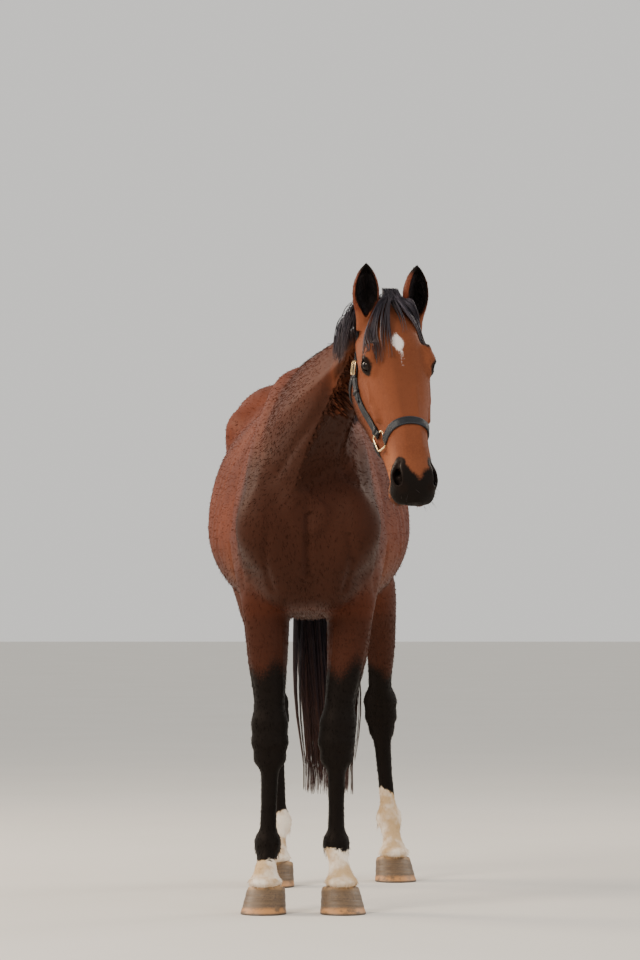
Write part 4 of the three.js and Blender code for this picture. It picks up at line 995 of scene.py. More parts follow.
class Spots:
    """What decides the colour and the growth of the coat, at each point of the skin."""

    def __init__(self, mesh):
        self.p, self.normal = points_of(mesh), normals_of(mesh)
        q = to_head(self.p)
        self.left, self.dorsal, self.down = q.T
        self.wide = np.abs(self.left)
        self.head, self.neck, self.leg, self.ear = part_weights(self.p)
        self.back, self.white = leg_facts(self.p)
        _, rise, _, height, _, _ = on_neck(self.p)
        self.crest = rise / height
        self.under_lip = self.head * between(-109, -117, self.dorsal) * between(588, 606, self.down)
        self.lids = [lid_edge(q, side) for side in (-1, 1)]
        self.holes = [line_distance(q, np.array(NOSTRIL) * (side, 1, 1)) for side in (-1, 1)]
        self.lips = [line_distance(q, np.array(LIP_LINE) * (side, 1, 1)) for side in (-1, 1)]
        self.in_ear, self.ear_rim = np.zeros(len(q)), np.zeros(len(q))
        for side in (-1, 1):
            up, out, across, radius = on_ear(self.p, side)
            inside = (ear_bowl(self.p, side) < 1.2) & (up > 20) & (np.hypot(across, out) < radius + 20)
            self.in_ear = most(self.in_ear, self.ear * inside)
            self.ear_rim = most(self.ear_rim, self.ear * between(110, 160, up) * 0.9)


def star_of(s):
    """The star with its narrow stripe, as millimetres inside their edge."""
    lean = s.left + 11 - 0.12 * (s.down - 176)
    star = 1 - (np.abs(lean) / 18) ** 1.4 - (np.abs(s.down - 174) / 30) ** 1.4
    stripe = 1.6 - 0.9 * np.abs(s.left + 3) - 9 * between(205, 290, s.down)
    stripe = np.where((s.down > 176) & (s.down < 290), stripe, -50)
    return np.where(s.head * (s.normal @ HEAD[1] > 0.3) > 0.5, most(star * 16, stripe), -200)


def black_of(s):
    """Lower legs, ear rims, painted shade in the ears' hollows, muzzle, under the mane, round the dock, the
    lids and the nostrils.
    """
    x, y, z = s.p.T
    knee = np.where(y < 450, 735.0, 700.0)
    legs = between(knee + 90, knee - 60, z + 26 * np.sin(x / 19) * np.cos(y / 23))
    # the black of the muzzle reaches up round the nostrils and leaves a brown point between them
    waver = 6 * np.sin(s.left / 7) * np.cos(s.down / 9)
    muzzle = between(-30, 22, s.down - 600 + 1.15 * np.minimum(s.wide, 50) + waver)
    muzzle *= between(-12, 12, s.dorsal + 84 + 0.2 * (s.down - 560) + 40 * between(596, 640, s.down))
    chin = 0.55 * between(-100, -120, s.dorsal) * between(540, 590, s.down)
    # the ears' hollows are painted near-black as painted shade
    black = most(legs, s.ear_rim, s.in_ear * 0.92, s.head * most(muzzle, chin)) * (1 - 0.75 * s.under_lip)
    mane = between(0.82, 0.99, s.crest) * s.neck * (s.left < 400)
    dock = between(95, 40, np.abs(x)) * between(1180, 1250, y)
    dock *= between(1590, 1500, z) * between(1150, 1250, z)
    lids = [0.8 * (out > 2) * (s.head > 0.5) * between(21, 7, edge) for edge, out, _ in s.lids]
    return most(black, mane, dock, *lids, *[between(25, 16, hole) * s.head for hole in s.holes])


def bare_of(s):
    """Nostrils, lips and rims of the lids, where the dark skin shows."""
    lids = [(out > 2) * (s.head > 0.5) * between(10, 6, edge) for edge, out, _ in s.lids]
    return most(*lids, *[between(24, 15, hole) * s.head for hole in s.holes],
                *[0.8 * between(15, 6, lip) * s.head for lip in s.lips])


def tan_of(s):
    """The sides of the muzzle, and soft patches round the eyes, elbows and flanks."""
    x, y, z = s.p.T
    muzzle = between(430, 560, s.down + 0.5 * s.wide) * s.head * (0.35 + 0.6 * between(-20, -70, s.dorsal))
    lids = [0.35 * between(30, 14, edge) * (out > 0) * s.head for edge, out, _ in s.lids]
    flank = np.exp(-(((y - 740) / 90) ** 2 + ((z - 1180) / 150) ** 2)) * between(120, 200, np.abs(x))
    elbow = np.exp(-(((y - 110) / 80) ** 2 + ((z - 980) / 90) ** 2))
    return most(muzzle, 0.28 * s.head, *lids, 0.55 * flank, 0.4 * elbow) * (1 - 0.8 * s.under_lip)


def dark_coat_and_shade_of(s):
    """Painted shade over the breast, the belly, the front of the neck and under the jaw; a darker coat on
    the neck, the top of the back, the upper legs and down the nose.
    """
    _, y, z = s.p.T
    # painted shade: the breast, and the body darkening down towards the belly
    breast = between(60, -190, y) * between(1560, 1300, z) * (1 - s.head)
    low = between(1330, 930, z + 40 * np.sin(y / 130)) * (1 - s.head)
    # the neck a darker coat, with painted shade added down the front of the throat
    throat = s.neck * (0.6 + 0.3 * between(0.2, -0.5, s.crest))
    back, legs = 0.35 * between(1560, 1640, z) * (y > 0), 0.75 * between(1020, 860, z)
    # painted shade under the jaw
    jaw = 0.85 * s.head * between(-110, -235, s.dorsal)
    nose = 0.28 * s.head * between(64, 20, s.wide) * between(140, 230, s.down) * between(440, 370, s.down)
    return most(0.85 * breast, throat, 0.6 * low, back, legs, jaw, nose, 0.6 * s.under_lip)


def growth_of(s, bare):
    """Tufts per square metre, their length and width in millimetres, and their lift in degrees."""
    z = s.p[:, 2]
    head_cut = HEAD_CUT_AT(s.p)
    under, jaw = between(0.2, 0.85, -s.normal[:, 2]), between(-120, -200, s.dorsal) * s.head
    fetlock = between(20, 38, s.back) * between(160, 185, z) * between(262, 225, z)
    cannon = between(14, 26, s.back) * between(230, 260, z) * between(470, 420, z)
    length = 9 + 3.5 * (1 - s.head) + 3 * under * (z > 850) + 2 * jaw - 5.5 * s.head - 3.5 * s.leg
    length *= 1 - 0.65 * np.exp(-((head_cut / 90) ** 2)) * (z > 1150)
    length += 30 * fetlock + 12 * cannon + 5 * between(112, 92, z)
    length += 9 * between(40, 70, s.back) * s.leg * (z > 560)
    up = np.where(s.left > 0, on_ear(s.p, 1)[0], on_ear(s.p, -1)[0])
    length = np.where(s.ear > 0.5, 5.5 + 13 * s.in_ear * between(130, 60, up), length)
    density = 5200 + 4200 * s.neck + 19000 * s.head + 6500 * s.leg + 26000 * s.ear
    density = density + 9000 * fetlock + 9000 * cannon
    density *= 1 - 0.7 * np.exp(-((head_cut / 70) ** 2)) * (z > 1150)
    density *= (1 - between(0.15, 0.5, bare)) * (1 - 0.75 * between(520, 590, s.down) * s.head)
    lift = 7 + 11 * under + 6 * jaw + 12 * fetlock + 8 * s.in_ear - 4 * s.head
    return np.stack([density, length, 0.36 + 0.035 * length - 0.1 * s.head], 1), np.radians(lift)


def paint(mesh):
    """Stores the markings, the lie and the growth of the coat on the skin."""
    s = Spots(mesh)
    _, y, z = s.p.T
    bare = bare_of(s)
    wet = most(*[(out > 2) * (s.head > 0.5) * between(1.5, 0, edge) for edge, out, _ in s.lids])
    growth, lift = growth_of(s, bare)
    regions = [s.head + s.ear > 0.5, s.neck > 0.5, (z < 900) & (y < 450), z < 1000]
    values = {"white": s.white, "star": star_of(s), "black": black_of(s), "bare": bare, "tan": tan_of(s),
              "dark": dark_coat_and_shade_of(s), "wet": wet, "lie": lie_of(s.p, s.normal), "root": unwrap(s.p),
              "streak": np.stack([np.clip(1 - s.head - s.leg - s.ear, 0, 1), s.leg + s.ear, s.head], 1),
              "growth": growth, "lift": lift, "region": np.select(regions, [0, 1, 3, 4], 2)}
    for name, value in values.items():
        give(mesh, name, value)


paint(skin_shape)


# ---- materials
def linear(code):
    """An sRGB hex colour as linear red, green, blue and one."""
    parts = [int(code[i:i + 2], 16) / 255 for i in (1, 3, 5)]
    return [c / 12.92 if c <= 0.04045 else ((c + 0.055) / 1.055) ** 2.4 for c in parts] + [1]


class Output:
    """A node's output. Sums, differences and products of outputs add the nodes that work them out."""

    def __init__(self, tree, socket):
        self.tree, self.socket = tree, socket

    def __add__(self, other):
        return maths("ADD", self, other)

    def __sub__(self, other):
        return maths("SUBTRACT", self, other)

    def __rsub__(self, other):
        return maths("SUBTRACT", other, self)

    def __mul__(self, other):
        return maths("MULTIPLY", self, other)


def fill(node, inputs):
    """Fills a node's inputs, by name or number, with a value, a hex colour or another node's output."""
    for key, value in inputs.items():
        if isinstance(value, Output):
            value.tree.links.new(value.socket, node.inputs[key])
        else:
            node.inputs[key].default_value = linear(value) if str(value).startswith("#") else value


def add(tree, kind, inputs=None, **settings):
    """Adds a node with its settings, fills its inputs, and gives its outputs."""
    node = tree.nodes.new(kind)
    for name, value in settings.items():
        setattr(node, name, value)
    fill(node, inputs or {})
    return [Output(tree, socket) for socket in node.outputs]


def maths(operation, a, b=0.0):
    tree = (a if isinstance(a, Output) else b).tree
    return add(tree, "ShaderNodeMath", {0: a, 1: b}, operation=operation)[0]


def mix(share, a, b, blend="MIX"):
    """Mixes two colours by a share of the second."""
    return add(share.tree, "ShaderNodeMix", {0: share, 6: a, 7: b}, data_type="RGBA", blend_type=blend)[2]


def ramp(value, low, high, to_low=0.0, to_high=1.0):
    """The rise of between(), as a node."""
    return add(value.tree, "ShaderNodeMapRange", {0: value, 1: low, 2: high, 3: to_low, 4: to_high},
               interpolation_type="SMOOTHSTEP")[0]


def noise(where, millimetres, detail=3.0, roughness=0.5):
    """Noise whose blobs are about so many millimetres apart."""
    return add(where.tree, "ShaderNodeTexNoise", {"Vector": where, "Scale": 1000 / millimetres,
                                                  "Detail": detail, "Roughness": roughness})[0]


def stretched(where, scale, turn=(0, 0, 0)):
    """Coordinates scaled along each axis, so that a pattern on them is drawn out."""
    return add(where.tree, "ShaderNodeMapping", {"Vector": where, "Rotation": turn, "Scale": scale})[0]


def read(tree, name, vector=False):
    """A number or a vector stored on the piece."""
    return add(tree, "ShaderNodeAttribute", attribute_name=name)[1 if vector else 2]


def bump(height, millimetres, strength):
    """Relief of a height in millimetres from a pattern between 0 and 1."""
    return add(height.tree, "ShaderNodeBump", {"Height": height, "Strength": strength,
                                               "Distance": millimetres / 1000})[0]


def surface(name):
    """A new material, with its tree and its Object coordinates."""
    material = bpy.data.materials.new(name)
    material.use_nodes = True
    return material, material.node_tree, add(material.node_tree, "ShaderNodeTexCoord")[3]


def shaded(material, inputs):
    """Fills the inputs of a material's surface shader."""
    fill(material.node_tree.nodes["Principled BSDF"], inputs)
    return material


def coat_markings():
    """Node group with the coat's colours, for the skin and the tufts alike."""
    tree = bpy.data.node_groups.new("bay_markings", "ShaderNodeTree")
    tree.interface.new_socket("Colour", in_out="OUTPUT", socket_type="NodeSocketColor")
    where = add(tree, "ShaderNodeTexCoord")[3]
    broad, hair = noise(where, 190, 3), noise(where, 5, 4, 0.65)
    ticking = hair - 0.5
    colour = mix(ramp(broad, 0.35, 0.68), "#4b1f14", "#62301f")
    colour = mix(ramp(hair, 0.35, 0.75, 0, 0.5), colour, "#774028")
    colour = mix(read(tree, "tan"), colour, "#9b6040")
    # the dark attribute: a darker coat, and painted shade over the breast, belly, throat and under the jaw
    colour = mix(ramp(read(tree, "dark") + ticking * 0.5, 0.05, 1.0), colour, "#351e16")
    black = read(tree, "black") + ticking * 0.9 + (broad - 0.5) * 0.5
    colour = mix(ramp(black, 0.25, 0.85), colour, "#100e0d")
    # the white's edge is ragged, and mud has stained it in patches
    ragged = (noise(where, 14, 4, 0.7) - 0.5) * 34
    stained = mix(ramp(noise(where, 60, 4), 0.36, 0.66), "#efe3d3", "#c4a57c")
    colour = mix(ramp(read(tree, "white") + ragged, -2, 5), colour, stained)
    # the star's white hairs thin out at its edge among the brown ones
    colour = mix(ramp(read(tree, "star") + ticking * 22, -4, 5), colour, "#ded6cf")
    bare = mix(noise(where, 9, 3), "#0c0908", "#1c1513")
    add(tree, "NodeGroupOutput", {0: mix(read(tree, "bare"), colour, bare)})
    return tree


MARKINGS = coat_markings()
COAT_GLOSS = {"Specular IOR Level": 0.1, "Specular Tint": "#f6d8c6"}


def summer_coat():
    """Short clean hair lying flat: a soft gloss along the form, broken by streaks that follow its lie."""
    material, tree, where = surface("summer_coat")
    group = add(tree, "ShaderNodeGroup", node_tree=MARKINGS)[0]
    # hair is drawn as locks about 3 mm wide and 26 mm long, coarser than real, so that it shows;
    # they run back on the body, down the legs and ears, and down the face
    fine, long = 1 / 3.0, 1 / 26.0
    facing = (math.radians(HEAD_PITCH), 0, math.radians(-HEAD_TURN))
    downward = (fine, fine, long)
    ways = [((fine, long, fine), (-0.42, 0, 0)), (downward, (0, 0, 0)), (downward, facing)]
    shares = add(tree, "ShaderNodeSeparateXYZ", {0: read(tree, "streak", True)})
    body, legs, face = [noise(stretched(where, *way), 1, 3, 0.6) * share for way, share in zip(ways, shares)]
    height = body + legs + face + noise(where, 22, 2) * 0.8
    bare = read(tree, "bare")
    rough = ramp(height, 0.4, 1.4, 0.50, 0.62) - bare * 0.12 - read(tree, "wet") * 0.25
    return shaded(material, {"Base Color": group, "Roughness": rough,
                             "Normal": bump((1.0 - bare) * height, 0.32, 0.8), **COAT_GLOSS})


def coat_tufts():
    """The same hair where it stands as tufts: the skin's own markings, each tuft in its own tone."""
    material, tree, _ = surface("coat_tufts")
    group = add(tree, "ShaderNodeGroup", node_tree=MARKINGS)[0]
    colour = mix(ramp(read(tree, "tone"), 0, 1, 0.0, 0.5), group, "#d9cabd", "MULTIPLY")
    return shaded(material, {"Base Color": colour, "Roughness": 0.55, **COAT_GLOSS})


def long_hair(name, root, body, tip, tip_share):
    """Coarse horsehair: a low gloss, each hair in its own tone, faded by the sun towards the ends."""
    material, tree, where = surface(name)
    tone = read(tree, "tone")
    colour = mix(ramp(tone, 0.1, 0.9), root, body)
    faded = ramp(read(tree, "along"), 0.45, 1.0) * tip_share * ramp(tone, 0.2, 0.8, 0.4, 1.0)
    colour = mix(faded, colour, tip)
    colour = mix(ramp(noise(where, 30, 3), 0.4, 0.8, 0, 0.35), colour, "#3a302b")
    return shaded(material, {"Base Color": colour, "Roughness": 0.46, "Specular IOR Level": 0.5,
                             "Specular Tint": "#d8d4f0"})


def hoof_horn():
    """Horn that grew down from the coronet: fine upright fibres crossed by growth rings, worn matt."""
    material, tree, where = surface("hoof_horn")
    grain = noise(stretched(where, (0.7, 0.7, 0.04)), 1.4, 3)
    rise = add(tree, "ShaderNodeSeparateXYZ", {0: read(tree, "hoof", True)})[0]
    rings = add(tree, "ShaderNodeTexNoise", {"W": rise * 14.0, "Scale": 1.0, "Detail": 2.0},
                noise_dimensions="1D")[0]
    patchy = noise(where, 26, 4, 0.6)
    colour = mix(ramp(grain, 0.3, 0.7), "#4a3a2b", "#7d6448")
    colour = mix(ramp(rings, 0.4, 0.65, 0, 0.35), colour, "#3d332b")
    fresh = ramp(rise, 0.78, 1.0) * ramp(patchy, 0.35, 0.6)
    colour = mix(fresh, colour, "#b08a5c")
    # a pale band low on the wall, over a dark bearing edge
    pale = ramp(rise, 0.03, 0.09) * ramp(rise, 0.3, 0.16) * ramp(patchy, 0.36, 0.56, 0.1, 1.0)
    colour = mix(pale, colour, "#b47f4c")
    colour = mix(ramp(rise, 0.05, 0.0, 0, 0.8), colour, "#3a2c20")
    return shaded(material, {"Base Color": colour, "Normal": bump(grain * 0.35 + rings, 0.9, 0.8),
                             "Roughness": ramp(grain, 0.3, 0.7, 0.42, 0.6)})


def wet_eye():
    """A horse's eye: dark brown iris round a level pupil, all under a clear wet cornea."""
    material, tree, _ = surface("wet_eye")
    gaze = read(tree, "gaze", True)
    along, up, _ = add(tree, "ShaderNodeSeparateXYZ", {0: gaze})
    wide, tall = along * 0.62, up * 1.35
    centre = maths("SQRT", along * along + up * up)
    pupil = maths("SQRT", wide * wide + tall * tall)
    iris = mix(ramp(noise(gaze, 700, 4, 0.7), 0.35, 0.7), "#140a05", "#25140a")
    iris = mix(ramp(centre, 11.5, 14.5), iris, "#140b07")
    colour = mix(ramp(pupil, 5.2, 4.4), iris, "#030305")
    colour = mix(ramp(centre, 16.5, 19), colour, "#3a2a22")
    return shaded(material, {"Base Color": colour, "Roughness": 0.16, "Specular IOR Level": 0.1,
                             "Coat Weight": 0.5, "Coat IOR": 1.34, "Coat Roughness": 0.03})


def bridle_leather(name, dark, light):
    """Vegetable-tanned strap leather, dyed and waxed: fine grain, lighter where it is worn."""
    material, tree, where = surface(name)
    grain = add(tree, "ShaderNodeTexVoronoi", {"Vector": where, "Scale": 1000 / 1.5},
                feature="DISTANCE_TO_EDGE")[0]
    wear = noise(where, 28, 5, 0.65)
    return shaded(material, {"Base Color": mix(ramp(wear, 0.45, 0.75), dark, light),
                             "Normal": bump(ramp(grain, 0.0, 0.22) + wear, 0.14, 0.6),
                             "Roughness": ramp(wear, 0.35, 0.7, 0.34, 0.52), "Specular IOR Level": 0.4})


def waxed_thread():
    """Linen thread, twisted and waxed: a matt grey, a little uneven."""
    material, _, where = surface("waxed_thread")
    return shaded(material, {"Base Color": mix(noise(where, 3, 2), "#2b2d33", "#4b4d52"), "Roughness": 0.6})


def cast_brass():
    """Cast brass, tumbled and handled: warm, with dulled patches and fine scratches."""
    material, _, where = surface("cast_brass")
    tarnish = noise(where, 9, 5, 0.65)
    scratches = noise(stretched(where, (1, 0.12, 0.3)), 0.7)
    return shaded(material, {"Base Color": mix(ramp(tarnish, 0.45, 0.75), "#dcc090", "#957a4c"),
                             "Roughness": ramp(tarnish, 0.4, 0.75, 0.2, 0.42),
                             "Normal": bump(scratches, 0.05, 0.5), "Metallic": 1.0})


COAT = summer_coat()
TUFTS = coat_tufts()
# the grey-lilac body of the mane and forelock hair is partly a painted sheen on near-black hair
MANE_HAIR = long_hair("mane_hair", "#19171a", "#413b3f", "#6a574c", 0.45)
TAIL_HAIR = long_hair("tail_hair", "#070606", "#100e0d", "#5b3820", 0.8)
WHISKER = long_hair("whisker_hair", "#15110f", "#2c2420", "#4a4038", 0.4)
WHITE_HAIR = long_hair("white_hair", "#9d8a6f", "#e6dac6", "#f0e8da", 0.5)
HORN = hoof_horn()
EYE = wet_eye()
LEATHER = bridle_leather("bridle_leather", "#0a0c11", "#1b1f28")
EDGE_LEATHER = bridle_leather("keeper_leather", "#0b0d11", "#1d2129")
THREAD = waxed_thread()
BRASS = cast_brass()


# ---- growing trees
def growing_tree(name, **kinds):
    """An empty Geometry Nodes tree with named inputs, and those inputs."""
    tree = bpy.data.node_groups.new(name, "GeometryNodeTree")
    for label, kind in {"Geometry": "Geometry", **kinds}.items():
        tree.interface.new_socket(label, in_out="INPUT", socket_type="NodeSocket" + kind)
    tree.interface.new_socket("Geometry", in_out="OUTPUT", socket_type="NodeSocketGeometry")
    return tree, add(tree, "NodeGroupInput")


def finish_tree(tree, geometry, material, soft=True):
    smooth, = add(tree, "GeometryNodeSetShadeSmooth", {"Geometry": geometry, "Shade Smooth": soft})
    painted, = add(tree, "GeometryNodeSetMaterial", {"Geometry": smooth, "Material": material})
    add(tree, "NodeGroupOutput", {0: painted})
    return tree


def named(tree, name, kind="FLOAT"):
    return add(tree, "GeometryNodeInputNamedAttribute", {"Name": name}, data_type=kind)[0]


def store(tree, geometry, name, value, kind="FLOAT", domain="POINT"):
    return add(tree, "GeometryNodeStoreNamedAttribute", {"Geometry": geometry, "Name": name, "Value": value},
               data_type=kind, domain=domain)[0]


def vector_sum(tree, a, b):
    return add(tree, "ShaderNodeVectorMath", {0: a, 1: b})[0]


def vector_scaled(tree, vector, scale):
    return add(tree, "ShaderNodeVectorMath", {0: vector, "Scale": scale}, operation="SCALE")[0]


def placed(tree, points, shape, inputs):
    """Copies of an object at points, made real."""
    geometry = add(tree, "GeometryNodeObjectInfo", {"Object": shape})[4]
    copies, = add(tree, "GeometryNodeInstanceOnPoints", {"Points": points, "Instance": geometry, **inputs})
    return add(tree, "GeometryNodeRealizeInstances", {"Geometry": copies})[0]


def grow(name, mesh, tree, **settings):
    """Runs a tree on a mesh and returns its result as a plain piece."""
    obj = link(name, mesh)
    modifier = obj.modifiers.new("grow", "NODES")
    modifier.node_group = tree
    for item in tree.interface.items_tree:
        if item.in_out == "INPUT" and item.name in settings:
            modifier[item.identifier] = settings[item.name]
    grown_mesh = settled_mesh(obj)
    obj.modifiers.clear()
    obj.data = grown_mesh
    for extra in ("root", "patch", "lie", "growth", "lift", "region", "streak", "radius", "around"):
        if extra in grown_mesh.attributes:
            grown_mesh.attributes.remove(grown_mesh.attributes[extra])
    return obj


PATCH = 0.003  # side of a tuft's patch on the bake map


def bake_patch(tree, geometry, along, around):
    """Gives each tuft its small patch at its root's place on the body's unwrap."""
    corner = add(tree, "ShaderNodeCombineXYZ", {0: around, 1: along})[0]
    place = vector_sum(tree, named(tree, "root", "FLOAT_VECTOR"), vector_scaled(tree, corner, PATCH))
    return store(tree, geometry, "OFBake", place, "FLOAT2", "CORNER")


def tuft_tree():
    """Short tufts over a skin, laid along its lie, with the growth stored on it."""
    tree, (skin, tuft, region, density, seed, material, _) = growing_tree(
        "coat_tufts", Tuft="Object", Region="Float", Density="Float", Seed="Int", Material="Material")
    crowd, length, width = add(tree, "ShaderNodeSeparateXYZ", {0: named(tree, "growth", "FLOAT_VECTOR")})
    here = maths("LESS_THAN", maths("ABSOLUTE", named(tree, "region") - region), 0.5)
    points, normal, _ = add(tree, "GeometryNodeDistributePointsOnFaces",
                            {"Mesh": skin, "Density": crowd * density * here, "Seed": seed})

    def chance(low, high, salt):
        return add(tree, "FunctionNodeRandomValue", {2: low, 3: high, "Seed": salt}, data_type="FLOAT")[1]
    points = store(tree, points, "tone", chance(0.0, 1.0, 3))
    # the lie, turned a little at random, then lifted off the skin
    sway = add(tree, "FunctionNodeRandomValue", {0: (-0.3, -0.3, -0.3), 1: (0.3, 0.3, 0.3), "Seed": 5},
               data_type="FLOAT_VECTOR")[0]
    lie = vector_sum(tree, named(tree, "lie", "FLOAT_VECTOR"), sway)
    raised = vector_scaled(tree, normal, named(tree, "lift") * chance(0.5, 1.6, 7))
    turn, = add(tree, "FunctionNodeAxesToRotation", {0: vector_sum(tree, lie, raised), 1: normal},
                primary_axis="Z", secondary_axis="X")
    breadth = width * chance(0.8, 1.2, 10)
    scale, = add(tree, "ShaderNodeCombineXYZ", {0: breadth, 1: breadth, 2: length * chance(0.65, 1.25, 9)})
    metres = vector_scaled(tree, scale, 0.001)
    real = placed(tree, points, tuft, {"Rotation": turn, "Scale": metres})
    around, along, _ = add(tree, "ShaderNodeSeparateXYZ", {0: named(tree, "patch", "FLOAT_VECTOR")})
    # flat faces: a tuft's back is then lit as the skin under it
    return finish_tree(tree, bake_patch(tree, real, along, around), material, False)


def lock_tree():
    """Long hairs and thin locks: tubes along lines, as thick as the radius stored on them."""
    tree, (lines, sides, material, _) = growing_tree("long_locks", Sides="Int", Material="Material")
    lines, = add(tree, "GeometryNodeMeshToCurve", {"Mesh": lines})
    ring = add(tree, "GeometryNodeCurvePrimitiveCircle", {"Resolution": sides, "Radius": 1.0})[0]
    ring = store(tree, ring, "around", add(tree, "GeometryNodeSplineParameter")[0])
    tube, = add(tree, "GeometryNodeCurveToMesh", {"Curve": lines, "Profile Curve": ring,
                                                  "Scale": named(tree, "radius"), "Fill Caps": True})
    real, = add(tree, "GeometryNodeRealizeInstances", {"Geometry": tube})
    return finish_tree(tree, bake_patch(tree, real, named(tree, "along"), named(tree, "around")), material)


def tuft_shape():
    """One tuft, a millimetre long until it is scaled: three-sided, ridge outward, tapering to a point."""
    rings = [(-0.08, -0.8, 1.0), (0.5, 0.1, 0.8)]
    corners = [(math.cos(a), math.sin(a)) for a in np.radians([0, 120, 240])]
    points = [(x * r + lift, y * r, z) for z, lift, r in rings for x, y in corners] + [(0.2, 0, 1.0)]
    faces = [(2, 1, 0)]
    for i in range(3):
        j = (i + 1) % 3
        faces += [(i, j, 3 + j), (i, 3 + j, 3 + i), (3 + i, 3 + j, 6)]
    mesh = bpy.data.meshes.new("tuft_shape")
    mesh.from_pydata(points, [], faces)
    give(mesh, "patch", [(i % 3 / 3, i // 3 / 2, 0) for i in range(7)])
    obj = link("tuft_shape", mesh)
    obj.hide_render = True
    return obj


TUFT_TREE, LOCK_TREE, TUFT = tuft_tree(), lock_tree(), tuft_shape()


def ride(obj, slot, *nodes):
    """Puts a piece on the horse's body, in place of the nodes that it stands for; its slot is not used."""
    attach(obj, "root")
    if nodes:
        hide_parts(*nodes)


def hair_piece(name, lines, radii, tone, material, slot, *nodes):
    """Locks along lines (locks, steps, 3) with a radius at each step, as one piece."""
    count, steps = lines.shape[:2]
    start = (np.arange(count) * steps)[:, None] + np.arange(steps - 1)[None]
    mesh = mesh_of(name, lines.reshape(-1, 3), edges=np.stack([start, start + 1], -1).reshape(-1, 2))
    give(mesh, "radius", np.broadcast_to(radii, (count, steps)).ravel() / 1000)
    give(mesh, "along", np.tile(np.linspace(0, 1, steps), count))
    give(mesh, "tone", np.repeat(tone, steps))
    give(mesh, "root", np.repeat(unwrap(lines[:, 0]), steps, axis=0))
    ride(grow(name, mesh, LOCK_TREE, Sides=3, Material=material), slot, *nodes)


# ---- skin and coat
skin = link("skin", skin_shape)
COAT_PIECES = ("coat_head", "coat_neck", "coat_trunk", "coat_forelegs", "coat_hindlegs")
for region, name in enumerate(COAT_PIECES):
    coat = grow(name, skin_shape.copy(), TUFT_TREE, Tuft=TUFT, Region=float(region),
                Density=1.0, Seed=SEED + region, Material=TUFTS)
    ride(coat, "black_points" if region > 2 else "bay_coat")
bpy.data.objects.remove(TUFT)
skin_shape.materials.append(COAT)
for spare in ("lie", "root", "growth", "lift", "region"):
    skin_shape.attributes.remove(skin_shape.attributes[spare])
ride(skin, "bay_coat", "trunk", "neck", "head", "ear_left", "ear_right", *LEG_LINES)


# ---- ring meshes
def wrap(rings, closed=False):
    """Points and square faces over rings of points, capped unless the last ring meets the first."""
    rings = np.asarray(rings)
    rows, sides = rings.shape[:2]
    i, j = np.meshgrid(np.arange(rows if closed else rows - 1), np.arange(sides), indexing="ij")

    def at(row, side):
        return (row % rows) * sides + side % sides
    faces = np.stack([at(i, j), at(i, j + 1), at(i + 1, j + 1), at(i + 1, j)], -1).reshape(-1, 4)
    if not closed:
        k = np.arange(sides // 2 - 1)
        cap = np.stack([k, k + 1, sides - 2 - k, sides - 1 - k], -1)
        faces = np.concatenate([faces, cap[:, ::-1], cap + (rows - 1) * sides])
    return rings.reshape(-1, 3), faces


def joined(parts):
    """One list of points and faces from several."""
    points, faces, start = [], [], 0
    for p, f in parts:
        points.append(p)
        faces.append(f + start)
        start += len(p)
    return np.concatenate(points), np.concatenate(faces)


def piece(name, parts, material, slot, *nodes):
    """An object from ring meshes, riding with the horse."""
    obj = link(name, mesh_of(name, *joined(parts)))
    obj.data.materials.append(material)
    ride(obj, slot, *nodes)
    return obj


# ---- eyes
CORNEA = 1.6  # how far the clear front of the eye bulges


def ball(steps):
    """Directions and square faces of a closed ball, from the six sides of a cube."""
    grid = np.tan(np.linspace(-math.pi / 4, math.pi / 4, steps + 1))
    a, b = np.meshgrid(grid, grid, indexing="ij")
    cell = (np.arange(steps)[:, None] * (steps + 1) + np.arange(steps)[None]).ravel()
    square = np.stack([cell, cell + steps + 1, cell + steps + 2, cell + 1], -1)
    sides = [np.roll(np.stack([np.full(a.shape, float(sign)), a, b * sign], -1).reshape(-1, 3), axis, 1)
             for axis in range(3) for sign in (-1, 1)]
    faces = np.concatenate([square + i * (steps + 1) ** 2 for i in range(6)])
    spots, index = np.unique(unit(np.concatenate(sides)).round(6), axis=0, return_inverse=True)
    return spots, index.reshape(-1)[faces]


def add_eye(side, word):
    out, along, up = eye_axes(side)
    spots, faces = ball(18)
    lean = np.arccos(np.clip(spots[:, 0], -1, 1))
    local = spots * (EYE_RADIUS - 0.8 + CORNEA * between(0.85, 0.3, lean))[:, None]
    points = from_head(eye_centre(side) + local @ np.array([out, along, up]))
    if side > 0:
        faces = faces[:, ::-1]
    obj = piece("eyeball_" + word, [(points, faces)], EYE, "eye", "eye_" + word)
    give(obj.data, "gaze", local[:, [1, 2, 0]])


# ---- hooves
HOOF_SIDES, HOOF_ROWS, HOOF_FLARE = 56, 44, 10


